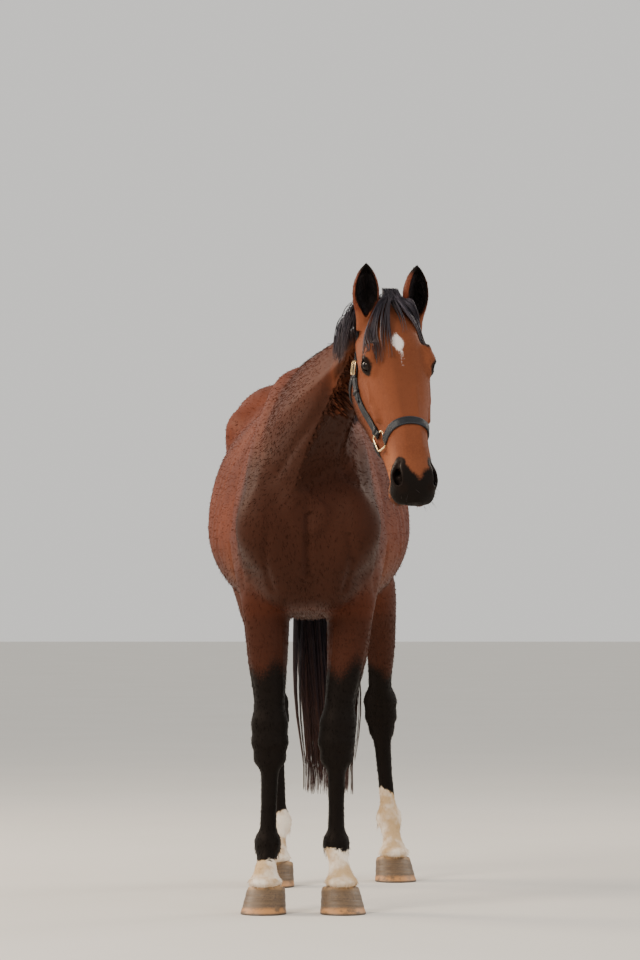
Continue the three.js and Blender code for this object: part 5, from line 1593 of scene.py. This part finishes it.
def hoof_parts(name):
    """Walls, toe and sole of a hoof; and how far up the wall each point is."""
    side = 1 if name.endswith("left") else -1
    x, y, _ = leg_spot(name)(90, 2)
    turn = (np.arange(HOOF_SIDES) + 0.5) / HOOF_SIDES * 2 * math.pi
    heel = np.maximum(np.sin(turn), 0)
    across = np.cos(turn) * HOOF_WIDTH / 2 * (1 - 0.2 * heel**2)
    along = np.sin(turn) * HOOF_LENGTH / 2 * (1 - 0.16 * heel)
    tilt = (HOOF_TOE - HOOF_HEEL) / HOOF_LENGTH
    middle = (HOOF_TOE + HOOF_HEEL) / 2
    rate = (1 - HOOF_TOP) / HOOF_TOE
    # where the wall meets the sloping plane of the coronet
    top = (middle + tilt * (12 + HOOF_FORWARD - along)) / (1 + tilt * (HOOF_LEAN - along * rate))

    def ring(z, grow):
        size = 1 - rate * z + grow / (HOOF_WIDTH / 2)
        shift = side * HOOF_FLARE * (0.5 - z / HOOF_TOE)
        back = y + along * size - HOOF_FORWARD + z * HOOF_LEAN
        return np.stack([x + across * size + shift, back, z], -1)
    rings, rise = [], []
    for inset, z in ((-36, 7), (-20, 5), (-9, 1.5), (-6, 0.0), (-1.2, 0.0)):  # sole, and its bearing rim
        rings.append(ring(np.full(HOOF_SIDES, z), inset))
        rise.append(0.0)
    for t in np.linspace(0, 1, HOOF_ROWS):
        # growth rings follow the coronet and wander a little; the wall flares at the ground
        wave = np.sin(t * 46 + 0.9 * np.sin(2 * turn + side)) * 0.18
        wave += np.sin(t * 19 + 1.3 * np.cos(turn)) * 0.4
        worn = -1.0 * between(0.05, 0.0, t) + 1.2 * between(0.3, 0.0, t) - 1.6 * between(0.9, 1.0, t)
        rings.append(ring(1.2 + (top + 4 - 1.2) * t, wave * between(0, 0.1, t) + worn))
        rise.append(t)
    rings.append(ring(top + 5, -14))
    rise.append(1.0)
    return wrap(rings), np.repeat(rise, HOOF_SIDES)


def add_hoof(name):
    part, rise = hoof_parts(name)
    node = name.replace("leg", "_hoof")
    obj = piece("horn_" + node, [part], HORN, "hoof_horn", node)
    give(obj.data, "hoof", np.stack([rise, 0 * rise, 0 * rise], 1))


for side, word in ((1, "left"), (-1, "right")):
    add_eye(side, word)
for name in LEG_LINES:
    add_hoof(name)


# ---- straps and fittings
def on_skin(start, direction, reach=260.0):
    """Where rays from inside the horse leave it."""
    start, direction = np.asarray(start, float), unit(np.asarray(direction, float))
    t = np.linspace(0, reach, 66)
    spots = start[:, None] + direction[:, None] * t[None, :, None]
    depth = measure(horse, spots.reshape(-1, 3)).reshape(len(start), -1)
    first = np.argmax(depth > 0, 1)
    far = t[first]
    for _ in range(5):
        far -= measure(horse, start + direction * far[:, None]) * 0.9
    return start + direction * far[:, None]


def round_head(down, degrees):
    """Spots at distances down the face and angles round it, from the forehead towards the left."""
    down, angle = np.broadcast_arrays(np.asarray(down, float), np.radians(degrees))
    start = from_head(np.stack([0 * down, 0 * down - 80, down], -1))
    return on_skin(start, np.stack([np.sin(angle), np.cos(angle), 0 * angle], -1) @ HEAD)


def even_path(points, step):
    """Points at an even spacing along a smooth curve through the given ones."""
    rows = smooth_table(np.column_stack([np.arange(len(points)), points]), 12)
    length = np.concatenate([[0], np.cumsum(np.linalg.norm(np.diff(rows[:, 1:], axis=0), axis=1))])
    where = np.linspace(0, length[-1], max(3, int(round(length[-1] / step))) + 1)
    return np.stack([np.interp(where, length, rows[:, i]) for i in (1, 2, 3)], -1)


def smoothed(values, passes):
    for _ in range(passes):
        values[1:-1] = (values[:-2] + values[2:] + 2 * values[1:-1]) / 4
    return values


def lay(points, lift):
    """Lays a path on the horse, taut over hollows and clear of the skin. Gives spots and normals."""
    points = even_path(points, 5)
    for _ in range(4):
        points = smoothed(points, 5)
        depth = measure(horse, points) - lift
        points += slope(horse, points, 4) * np.maximum(-depth, np.minimum(-depth, 0) * 0.5)[:, None]
    return points, unit(smoothed(slope(horse, points, 6), 10))


def frame_along(points, out):
    """Directions at each point of a path: along it, across it and out of the horse."""
    along = unit(np.gradient(points, axis=0))
    side = unit(np.cross(along, out))
    return along, side, unit(np.cross(side, along))


def strap(points, out, width, thick, pointed=False):
    """A leather strap along a path: rounded edges, and a back that lies to the skin."""
    _, side, out = frame_along(points, out)
    half, r = width / 2, min(1.3, thick / 2.2)
    edge = [(half - 0.4, 0), (half, r * 0.6), (half, thick - r), (half - r, thick - 0.15),
            (half * 0.5, thick + 0.2)]
    other = [(-across, up) for across, up in edge[::-1]]
    profile = np.array(edge + [(0, thick + 0.3)] + other + [(0, 0)])[::-1]
    rings = []
    for i, spot in enumerate(points):
        narrow = 1.0
        if pointed and i > len(points) - 6:
            narrow = [1, 0.97, 0.86, 0.66, 0.36, 0.1][i - len(points) + 6]
        rings.append(spot + side[i] * profile[:, :1] * narrow + out[i] * profile[:, 1:])
    return wrap(rings)


def tube(points, radius, closed=True, sides=10):
    """A round bar along a path; its cross section starts from one steady direction."""
    points = np.asarray(points, float)
    if closed:
        along = unit(np.roll(points, -1, 0) - np.roll(points, 1, 0))
        spokes = points - points.mean(0)
        steady = unit(np.cross(spokes, np.roll(spokes, -1, 0)).sum(0))
    else:
        along = unit(np.gradient(points, axis=0))
        steady = unit(np.cross(along.mean(0), [0.3, 0.2, 0.9]))
    u = unit(np.cross(along, steady))
    v = np.cross(along, u)
    turn = np.arange(sides)[:, None] / sides * 2 * math.pi
    radius = np.broadcast_to(radius, len(points))
    rings = [p + (np.cos(turn) * a + np.sin(turn) * b) * r for p, a, b, r in zip(points, u, v, radius)]
    return wrap(rings, closed)


def rounded_loop(width_top, width_bottom, height, corner):
    """Outline of a four-sided loop with round corners, as (across, down) pairs."""
    corners = [(-width_top / 2, -height / 2), (width_top / 2, -height / 2),
               (width_bottom / 2, height / 2), (-width_bottom / 2, height / 2)]
    out = []
    for i in range(4):
        before, here, after = [np.array(corners[(i + k) % 4]) for k in (-1, 0, 1)]
        a, b = here + unit(before - here) * corner, here + unit(after - here) * corner
        for t in np.linspace(0, 1, 5):
            out.append(a * (1 - t) ** 2 + 2 * here * t * (1 - t) + b * t**2)
    return np.array(out)


STITCH_SPACING = 0.0052
STRAP_LIFT = 1.6  # over the skin, on top of the flattened hair
NOSE_LINE = smooth_table([(0, 417), (30, 424), (50, 433), (75, 440), (116, 430), (150, 420), (180, 414)])
RING_DOWN, RING_DEGREES, RING_BAR = 425, 116, 3.0
CHEEK_LINE = [(404, 119), (350, 126), (290, 126), (235, 124), (185, 120), (150, 108), (126, 98)]
BUCKLE_DOWN, BUCKLE_DEGREES = 166, 114
stitch_lines, straps, dark_straps, fittings = [], {}, [], []


def nose_spots(degrees):
    degrees = np.asarray(degrees, float)
    down, = look_up(NOSE_LINE, np.minimum(np.abs(degrees), 360 - np.abs(degrees)))
    return round_head(down, degrees)


def sew(points, out, width, thick):
    """Remembers two rows of stitches along a strap."""
    _, side, out = frame_along(points, out)
    for e in (-1, 1):
        stitch_lines.append(points[1:-1] + side[1:-1] * e * (width / 2 - 2.6) + out[1:-1] * (thick + 0.25))


def halter_strap(node, spots, width):
    points, out = lay(spots, STRAP_LIFT)
    straps.setdefault(node, []).append(strap(points, out, width, STRAP_THICK))
    sew(points, out, width, STRAP_THICK)
    return points, out


def keeper(points, out, at, width, lift, length=9):
    """A narrow leather loop round a strap, at one place on its path."""
    along, side, out = frame_along(points, out)
    half, low, high, r = width / 2 + 2.2, -1.6, STRAP_THICK + 2.6 + lift, 1.8
    edge = [(half - r, high), (half, high - r), (half, low + r), (half - r, low)]
    loop = [(0, high + 0.4)] + edge + [(0, low)] + [(-across, up) for across, up in edge[::-1]]
    loop = loop[-1:] + loop[:-1]
    rings = []
    # its two edges are a little narrower and thinner than its middle
    for shift, narrow, thin in ((-0.5, 0.985, 0.3), (-0.35, 1, 0), (0.35, 1, 0), (0.5, 0.985, 0.3)):
        rings.append([points[at] + side[at] * a * narrow + out[at] * (b - thin) + along[at] * shift * length
                      for a, b in loop[::-1]])
    dark_straps.append(wrap(rings))


def buckle(points, out, at, width, lift):
    """A brass buckle on a strap: a bowed frame and a tongue."""
    along, side, out = frame_along(points, out)
    centre = points[at] + out[at] * (STRAP_THICK + lift)
    frame_line = rounded_loop(width + 10, width + 10, 40, 8)
    bow = 3.0 * np.cos(frame_line[:, 1] / 20 * math.pi / 2)
    spots = centre + side[at] * frame_line[:, :1] + along[at] * frame_line[:, 1:] + out[at] * bow[:, None]
    fittings.append(tube(spots, 2.6))
    tongue = np.linspace(-20, 21.5, 9)
    rise = 1.8 + 2.2 * np.cos(tongue / 21 * math.pi / 2)
    fittings.append(tube(centre + along[at] * tongue[:, None] + out[at] * rise[:, None],
                         np.linspace(1.9, 1.3, 9), closed=False))


def add_halter():
    for side, word in ((1, "left"), (-1, "right")):
        # cheek strap, from the ring to the crown, with a buckled second layer at its top
        spots = round_head(*zip(*[(down, side * angle) for down, angle in CHEEK_LINE]))
        node = "halter_cheek_" + word
        points, out = halter_strap(node, spots, STRAP_WIDTH)
        buckle_spot = round_head([BUCKLE_DOWN], [side * BUCKLE_DEGREES])
        at = int(np.argmin(np.linalg.norm(points - buckle_spot, axis=1)))
        layer = slice(max(at - 22, 2), len(points) - 1)
        tip, tip_out = points[layer][::-1] + out[layer][::-1] * (STRAP_THICK + 0.3), out[layer][::-1]
        straps[node].append(strap(tip, tip_out, STRAP_WIDTH - 3, 3.0, True))
        sew(tip, tip_out, STRAP_WIDTH - 3, 3.0)
        buckle(points, out, at, STRAP_WIDTH, 3.6)
        keeper(points, out, at - 5, STRAP_WIDTH, 3.0)
        keeper(points, out, at - 15, STRAP_WIDTH, 3.0)
        keeper(points, out, 5, STRAP_WIDTH, 0.5, 12)
        # the ring where the straps meet, tilted a little to the front as it hangs in them
        spot = round_head([RING_DOWN], [side * RING_DEGREES])
        normal = unit(slope(horse, spot, 8)[0] + 0.35 * HEAD[1])
        down = unit(HEAD[2] - normal * (HEAD[2] @ normal))
        flat = np.cross(down, normal)
        outline = rounded_loop(RING_SIZE - 2, RING_SIZE * 0.72, RING_SIZE + 2, 9)
        centre = spot[0] + normal * (STRAP_THICK + STRAP_LIFT + 3)
        fittings.append(tube(centre + flat * outline[:, :1] + down * outline[:, 1:], RING_BAR, sides=12))
        # leather folded round the bars of the ring
        half = RING_SIZE / 2
        for middle, bar in ((-down * (half + 2), flat), (flat * half, down), (-flat * half, down)):
            ends = [centre + middle + bar * s * (STRAP_WIDTH / 2 - 1) for s in (-1, -0.9, 0.9, 1)]
            straps.setdefault("halter_noseband", []).append(tube(ends, [3.6, 4.8, 4.8, 3.6], False, 14))
    front, back = RING_DEGREES - 21, RING_DEGREES + 21
    halter_strap("halter_noseband", nose_spots(np.linspace(-front, front, 13)), STRAP_WIDTH)
    halter_strap("halter_noseband", nose_spots(np.linspace(back, 360 - back, 9)), STRAP_WIDTH)
    rays = [(1, -0.12, 0.62), (1, -0.02, 0.1), (0.84, 0.08, -0.5), (0.47, 0.23, -0.85), (0, 0.33, -0.94)]
    rays += [(-x, y, z) for x, y, z in rays[-2::-1]]
    start = np.repeat(from_head([[0, -90, 60]]), len(rays), 0)
    halter_strap("halter_crownpiece", on_skin(start, np.array(rays) @ HEAD), STRAP_WIDTH + 3)
    throat = [(176, 131), (194, 145), (206, 161), (212, 180), (206, 199), (194, 215), (176, 229)]
    halter_strap("halter_throat_strap", round_head(*zip(*throat)), STRAP_NARROW)
    halter_strap("halter_jaw_strap", round_head([232, 290, 345, 402], 180), STRAP_NARROW)
    for node, parts in straps.items():
        piece("leather_" + node.replace("halter_", ""), parts, LEATHER, "halter_leather", node)
    piece("halter_keepers", dark_straps, EDGE_LEATHER, "halter_leather")
    piece("halter_brass", fittings, BRASS, "brass", "halter_ring_left", "halter_ring_right")


def stitch_tree():
    """Stitches laid end to end along lines."""
    tree, (lines, stitch, spacing, material, _) = growing_tree("stitching", Stitch="Object", Spacing="Float",
                                                               Material="Material")
    lines, = add(tree, "GeometryNodeMeshToCurve", {"Mesh": lines})
    points, tangent, _, _ = add(tree, "GeometryNodeCurveToPoints", {"Curve": lines, "Length": spacing},
                                mode="LENGTH")
    turn, = add(tree, "FunctionNodeAlignRotationToVector", {"Vector": tangent}, axis="Z")
    return finish_tree(tree, placed(tree, points, stitch, {"Rotation": turn}), material)


def add_stitching():
    turn = np.arange(6) / 6 * 2 * math.pi
    rings = [[(math.cos(a) * r, math.sin(a) * r, z) for a in turn]
             for r, z in ((0.2, -1.9), (0.55, -1.4), (0.62, 0), (0.55, 1.4), (0.2, 1.9))]
    points, faces = wrap(rings)
    shape = link("stitch_shape", mesh_of("stitch_shape", points + to_form(np.zeros(3)), faces))
    points = np.concatenate(stitch_lines)
    starts = np.cumsum([0] + [len(line) for line in stitch_lines])
    edges = np.concatenate([np.stack([np.arange(a, b - 1), np.arange(a + 1, b)], -1)
                            for a, b in zip(starts[:-1], starts[1:])])
    threads = mesh_of("halter_stitching", points, edges=edges)
    stitches = grow("halter_stitching", threads, stitch_tree(), Stitch=shape, Spacing=STITCH_SPACING,
                    Material=THREAD)
    ride(stitches, "halter_leather")
    bpy.data.objects.remove(shape)


add_halter()
add_stitching()


# ---- long hair
chance = np.random.default_rng(SEED)


def spread(low, high, *shape):
    return chance.uniform(low, high, shape)


def clear_of_skin(lines, gap):
    """Pushes the points of hairs out of the skin, all but their roots."""
    flat = lines[:, 1:].reshape(-1, 3)
    gaps = np.broadcast_to(gap, lines[:, 1:].shape[:2]).ravel()
    for _ in range(2):
        depth = measure(horse, flat) - gaps
        low = depth < 0
        if low.any():
            flat[low] -= slope(horse, flat[low], 3) * depth[low, None]
    lines[:, 1:] = flat.reshape(lines[:, 1:].shape)
    return lines


def hang(roots, directions, lengths, steps, gap, weight, wave):
    """Hair that leaves its roots in a direction, bends down under its weight and lies on the skin."""
    lines = np.empty((len(roots), steps, 3))
    spot, direction = roots.copy(), unit(directions)
    step = (lengths / (steps - 1))[:, None]
    lines[:, 0] = spot
    drift = unit(chance.normal(size=roots.shape))
    for i in range(1, steps):
        sway = wave * np.sin(i * 1.1 + drift[:, :1] * 5) * drift
        direction = unit(direction + np.array([0, 0, -weight]) + sway)
        spot = spot + direction * step
        depth = measure(horse, spot) - gap
        low = depth < 0
        if low.any():
            out = slope(horse, spot[low], 4)
            spot[low] -= out * depth[low, None]
            inward = np.minimum((direction[low] * out).sum(1), 0)
            direction[low] = unit(direction[low] - out * inward[:, None])
        lines[:, i] = spot
    return lines


def gathered(lines, lock, amount, start=0.25):
    """Draws the hairs of each lock together towards their tips."""
    steps = lines.shape[1]
    share = amount * between(start, 1.0, np.linspace(0, 1, steps))
    count = lock.max() + 1
    middle = np.zeros((count, steps, 3))
    np.add.at(middle, lock, lines)
    middle /= np.bincount(lock, minlength=count)[:, None, None]
    return lines + (middle[lock] - lines) * share[None, :, None]


def taper(steps, thick, tip=0.25, start=0.55):
    """Radii along each hair: full from just above its root, then falling to a share of it at the tip."""
    t = np.linspace(0, 1, steps)
    return thick[:, None] * (1 - (1 - tip) * between(start, 1, t))[None] * between(-0.12, 0.06, t)[None]


HAIRS = 1.0


MANE_LENGTH = smooth_table([(0, 60), (1, 130), (2, 190), (3, 205), (4, 190), (5, 165), (6, 125)])


def add_mane():
    """Locks from the crest, fallen to the left but for two bunches behind the poll."""
    locks, each, steps = 140, max(4, int(21 * HAIRS)), 12
    lock = np.repeat(np.arange(locks), each)
    station = np.linspace(0.35, 5.92, locks)[lock] + spread(-0.05, 0.05, len(lock))
    station = np.clip(station, 0.2, 5.95)
    length, = look_up(MANE_LENGTH, station)
    length = length * (1 + spread(-0.2, 0.18, locks)[lock] + spread(-0.08, 0.05, len(lock))) + 46
    up, left, half = [values[(station * 5).astype(int)] for values in (NECK_UP, NECK_LEFT, NECK_HALF)]
    # just behind the poll most locks have slipped over to the right
    right = (station > 4.3) & (station < 5.45) & (lock % 7 < 5)
    side = np.where(right, -1.0, 1.0)
    across = (spread(-9, 9, len(lock)) + side * 5) / half
    roots = neck_spot(station, np.full(len(lock), 0.985), across)
    back = np.array([-0.1, 0.35, 0]) + spread(-0.25, 0.25, locks)[lock][:, None] * np.array([0, 0.5, 0])
    back = np.where(right[:, None], [0.0, 0.3, -0.1], back)
    rise = np.where(right, spread(0.5, 1.0, len(lock)), spread(0.35, 0.75, len(lock)))
    direction = up * rise[:, None] + left * (side * spread(0.5, 0.9, len(lock)))[:, None] + back
    gap = np.where(right, spread(4, 30, len(lock)), spread(3, 15, len(lock)))
    short = (150 + 60 * np.clip(station - 4.3, 0, 1)) * spread(0.75, 1.1, locks)[lock]
    length = np.where(right, short, length)
    lines = hang(roots, direction, length, steps, gap, 0.42, 0.04)
    for _ in range(3):
        lines[:, 1:-1] = (lines[:, :-2] + lines[:, 2:] + 2 * lines[:, 1:-1]) / 4
    lines = clear_of_skin(gathered(lines, lock, 0.55), 2.6)
    radii = taper(steps, spread(0.6, 1.15, len(lock)))
    hair_piece("mane_hair", lines, radii, spread(0, 1, len(lock)), MANE_HAIR, "long_hair", "mane")


FORELOCK = [  # share of the locks, then left, down, hair gap along each bunch
    (0.16, [(-14, 0, 22), (-50, 45, 26), (-78, 105, 15), (-88, 170, 8), (-92, 226, 5)]),
    (0.26, [(-12, 0, 22), (-40, 45, 26), (-62, 105, 16), (-70, 170, 9), (-72, 240, 5)]),
    (0.20, [(-4, 0, 24), (-26, 50, 26), (-40, 110, 15), (-46, 165, 8), (-48, 226, 5)]),
    (0.16, [(14, 0, 24), (44, 34, 24), (72, 78, 15), (90, 128, 9), (96, 172, 5)]),
    (0.17, [(8, 0, 24), (30, 44, 24), (56, 92, 14), (78, 140, 8), (88, 184, 5)]),
    (0.05, [(2, 0, 24), (6, 40, 22), (14, 84, 12), (16, 120, 6), (18, 150, 4)]),
]


def add_forelock():
    locks, each, steps = 58, max(5, int(38 * HAIRS)), 14
    lock = np.repeat(np.arange(locks), each)
    count = len(lock)
    share = np.cumsum([bunch[0] for bunch in FORELOCK])
    which = np.searchsorted(share, (np.arange(locks) + 0.5) / locks)
    t = np.linspace(0, 1, steps)
    slip = spread(-11, 11, locks)[lock]
    reach = 1 + spread(-0.2, 0.06, locks)[lock] + spread(-0.1, 0.02, count)
    height = spread(0, 1, count)
    bunches = [smooth_table([(k / 4, *row) for k, row in enumerate(bunch[1])]) for bunch in FORELOCK]
    start, gaps = [], []
    for i in range(count):
        left, down, gap = look_up(bunches[which[lock[i]]], t * reach[i])
        left = left + slip[i] * (0.5 + 0.9 * t) + 3 * np.sin(3 * t + lock[i])
        start.append(np.stack([left, 0 * left - 60, down], -1))
        gaps.append(gap * (0.3 + 0.7 * height[i]) + 3)
    start = from_head(np.concatenate(start))
    spots = on_skin(start, np.tile(HEAD[1], (count * steps, 1)), 160)
    lines = (spots + HEAD[1] * np.reshape(gaps, (-1, 1))).reshape(count, steps, 3)
    across = spread(-24, 30, locks)[lock] * 0.8 + spread(-8, 8, count)
    roots = from_head(np.stack([across, spread(8, 16, count), spread(-26, 14, count)], -1))
    lines[:, 0] = roots
    lines[:, 1] = (roots + lines[:, 2]) / 2 + HEAD[1] * spread(2, 10, count)[:, None]
    lines[:, 1:-1] = (lines[:, :-2] + lines[:, 2:] + 2 * lines[:, 1:-1]) / 4
    lines = clear_of_skin(gathered(lines, lock, 0.6, 0.2), 2.4)
    radii = taper(steps, spread(0.5, 0.95, count), 0.2)
    hair_piece("forelock_hair", lines, radii, spread(0, 1, count), MANE_HAIR, "long_hair", "forelock")


def add_tail():
    locks, each, steps = 115, max(4, int(18 * HAIRS)), 16
    lock = np.repeat(np.arange(locks), each)
    count = len(lock)
    rows = smooth_table(TAIL[::-1])
    turn = spread(0, 2 * math.pi, locks)[lock] + spread(-0.35, 0.35, count)
    layer = spread(0.03, 1, locks)[lock] ** 0.4
    root_z = 1575 - 320 * spread(0, 1, locks)[lock] ** 1.3 + spread(-12, 12, count)
    tip_z = 272 + 190 * spread(0, 1, locks)[lock] ** 1.6 + 40 * spread(0, 1, count)
    tip_z = np.where(spread(0, 1, locks)[lock] < 0.16, tip_z + 240, tip_z)
    t = np.linspace(0, 1, steps)[None]
    z = root_z[:, None] + (tip_z - root_z)[:, None] * t
    x, y, wide, deep = look_up(rows, z)
    # the hair doesn't draw in as its solid does at the tips
    wide = np.where(z < 600, np.maximum(wide, 92), wide)
    deep = np.where(z < 600, np.maximum(deep, 50), deep)
    out = (0.3 + 0.7 * between(0, 0.22, t)) * (layer[:, None] * 0.94)
    twist = turn[:, None] + 0.25 * np.sin(2.2 * t + lock[:, None])
    wander = 0.1 * np.sin(5 * t + lock[:, None] * 1.7) * between(0.1, 0.5, t)
    out = out + wander
    lines = np.stack([x + np.cos(twist) * wide * out, y + np.sin(twist) * deep * out, z], -1)
    lines = clear_of_skin(gathered(lines, lock, 0.5, 0.35), 2.0)
    radii = taper(steps, spread(1.0, 1.8, count))
    hair_piece("tail_hair", lines, radii, spread(0, 1, count), TAIL_HAIR, "long_hair", "tail")


NO_GAP = -50.0  # lets a hair lie this deep in the skin, so that it leaves the skin freely


def short_hairs(name, spots, direction, length, thick, weight):
    """Single stiff hairs, such as whiskers and lashes."""
    lines = hang(spots - unit(direction) * 1.5, direction, length, 5, NO_GAP, weight, 0.025)
    inside = (to_metres(lines)[:, :, 0] < cad_box[1][0] + 0.004).all(1)
    lines, thick = lines[inside], thick[inside]
    radii = taper(5, thick, 0.3, 0.2)
    hair_piece(name, lines, radii, spread(0, 1, len(lines)), WHISKER, "black_points")


def add_face_hair():
    # whiskers of the lips, chin and nostrils
    count = 130
    side = np.where(np.arange(count) % 2 == 0, 1.0, -1.0)
    down, level = spread(520, 640, count), spread(-150, -40, count)
    start = from_head(np.stack([0 * down, level, down - 20], -1))
    aim = np.stack([side * spread(0.5, 1.2, count), spread(-0.5, 0.2, count), spread(0.0, 0.8, count)], -1)
    spots = on_skin(start, aim @ HEAD, 160)
    out = slope(horse, spots)
    direction = unit(out + 0.5 * unit(chance.normal(size=out.shape)) + 0.5 * HEAD[2])
    short_hairs("whiskers", spots, direction, spread(10, 30, count), spread(0.28, 0.42, count), 0.06)
    # lashes of the upper lids
    spots, direction = [], []
    for side in (-1, 1):
        out, along, up = eye_axes(side)
        for t in np.linspace(-0.85, 0.85, 34):
            ray = out * 30 + along * t * LID_LENGTH + up * (LID_HEIGHT * (1 - t * t) * 0.9 + 2.5)
            spots.append(from_head(eye_centre(side) + ray * 0.2))
            direction.append((ray + up * 0.5) @ HEAD)
    spots, direction = np.array(spots), unit(np.array(direction))
    spots = on_skin(spots, direction, 60)
    direction = unit(direction + np.array([0, -0.15, -0.5]) + 0.12 * chance.normal(size=spots.shape))
    count = len(spots)
    short_hairs("lashes", spots, direction, spread(9, 15, count), spread(0.35, 0.5, count), 0.0)


def add_ear_hair():
    """Soft hair that fills the ears' openings and fringes their rims."""
    count = int(1400 * HAIRS)
    lines = []
    for side in (-1, 1):
        base, axis, face, across = ear_axes(side)
        up = spread(14, 128, count)
        angle = spread(-1.2, 1.2, count)
        radius, = look_up(EAR_TABLE, up / EAR_LENGTH)
        mouth = ear_mouth(radius, up)
        out = radius * 0.62 - 5 * (up / EAR_LENGTH) ** 2 - np.cos(angle) * mouth / 0.62 * 0.9
        wall = base + axis * up[:, None] + across * (np.sin(angle) * mouth)[:, None] + face * out[:, None]
        inward = face * 0.3 - across * np.sin(angle)[:, None] * 0.9
        inward = inward + axis * spread(0.3, 0.9, count)[:, None]
        lines.append(hang(wall, inward, spread(8, 18, count), 5, NO_GAP, 0.0, 0.03))
    lines = np.concatenate(lines)
    radii = taper(5, spread(0.3, 0.55, len(lines)), 0.3, 0.2)
    hair_piece("ear_hair", lines, radii, spread(0, 0.7, len(lines)), WHISKER, "black_points")


def add_fetlock_hair(name, material):
    """A little longer hair behind a fetlock."""
    at, count = leg_spot(name), int(420 * HAIRS)
    angle = spread(-0.9, 0.9, count)
    line = np.array([at(level) for level in spread(196, 222, count)])
    ray = np.stack([np.sin(angle), np.cos(angle), 0 * angle], -1)
    direction = unit(ray * 0.35 + [0, 0.25, -1])
    roots = on_skin(line, ray, 90) - direction * 2
    lines = hang(roots, direction, spread(16, 34, count), 6, 0.6, 0.15, 0.05)
    radii = taper(6, spread(0.5, 0.9, count), 0.25, 0.3)
    hair_piece("fetlock_hair_" + name, lines, radii, spread(0, 1, count), material, "black_points")


add_mane()
add_forelock()
add_tail()
add_face_hair()
add_ear_hair()
for name in LEG_LINES:
    add_fetlock_hair(name, WHITE_HAIR if name.startswith("hind") else WHISKER)


# ---- studio
def studio_floor():
    """Painted board: matt, with a faint unevenness."""
    material, _, where = surface("studio_floor")
    colour = mix(noise(where, 900, 3), "#d6d2ca", "#dedad3")
    return shaded(material, {"Base Color": colour, "Roughness": 0.75})


floor_mesh = bpy.data.meshes.new("floor")
floor_mesh.from_pydata([(-60, -60, 0), (60, -60, 0), (60, 60, 0), (-60, 60, 0)], [], [(0, 1, 2, 3)])
floor_mesh.materials.append(studio_floor())
link("floor", floor_mesh)


def soft_light(name, place, size, power, colour):
    lamp = bpy.data.lights.new(name, "AREA")
    lamp.size, lamp.energy, lamp.color = size, power, linear(colour)[:3]
    obj = link(name, lamp)
    obj.location = place
    obj.rotation_euler = (Vector((0, 0, 1.1)) - Vector(place)).to_track_quat("-Z", "Y").to_euler()


soft_light("key", (-4.6, -4.6, 5.0), 2.6, 430, "#fff3e4")
soft_light("fill", (5.0, -4.6, 2.6), 3.5, 70, "#eef3ff")
soft_light("rim_right", (-5.2, 2.2, 4.4), 2.4, 330, "#ffe9cf")
soft_light("rim_left", (4.6, 3.4, 4.8), 2.4, 170, "#fff0df")
world = bpy.data.worlds.new("studio_air")
bpy.context.scene.world = world
world.use_nodes = True
world.node_tree.nodes["Background"].inputs[0].default_value = linear("#eceae6")
world.node_tree.nodes["Background"].inputs[1].default_value = 1.0

camera_data = bpy.data.cameras.new("camera")
camera_data.lens = CAMERA_LENS
camera_data.clip_end = 200
camera = link("camera", camera_data)
camera.location = to_metres(CAMERA_SPOT)
camera.rotation_euler = (math.radians(90) + CAMERA_RISE, 0, 0)
bpy.context.scene.camera = camera

bpy.context.view_layer.update()
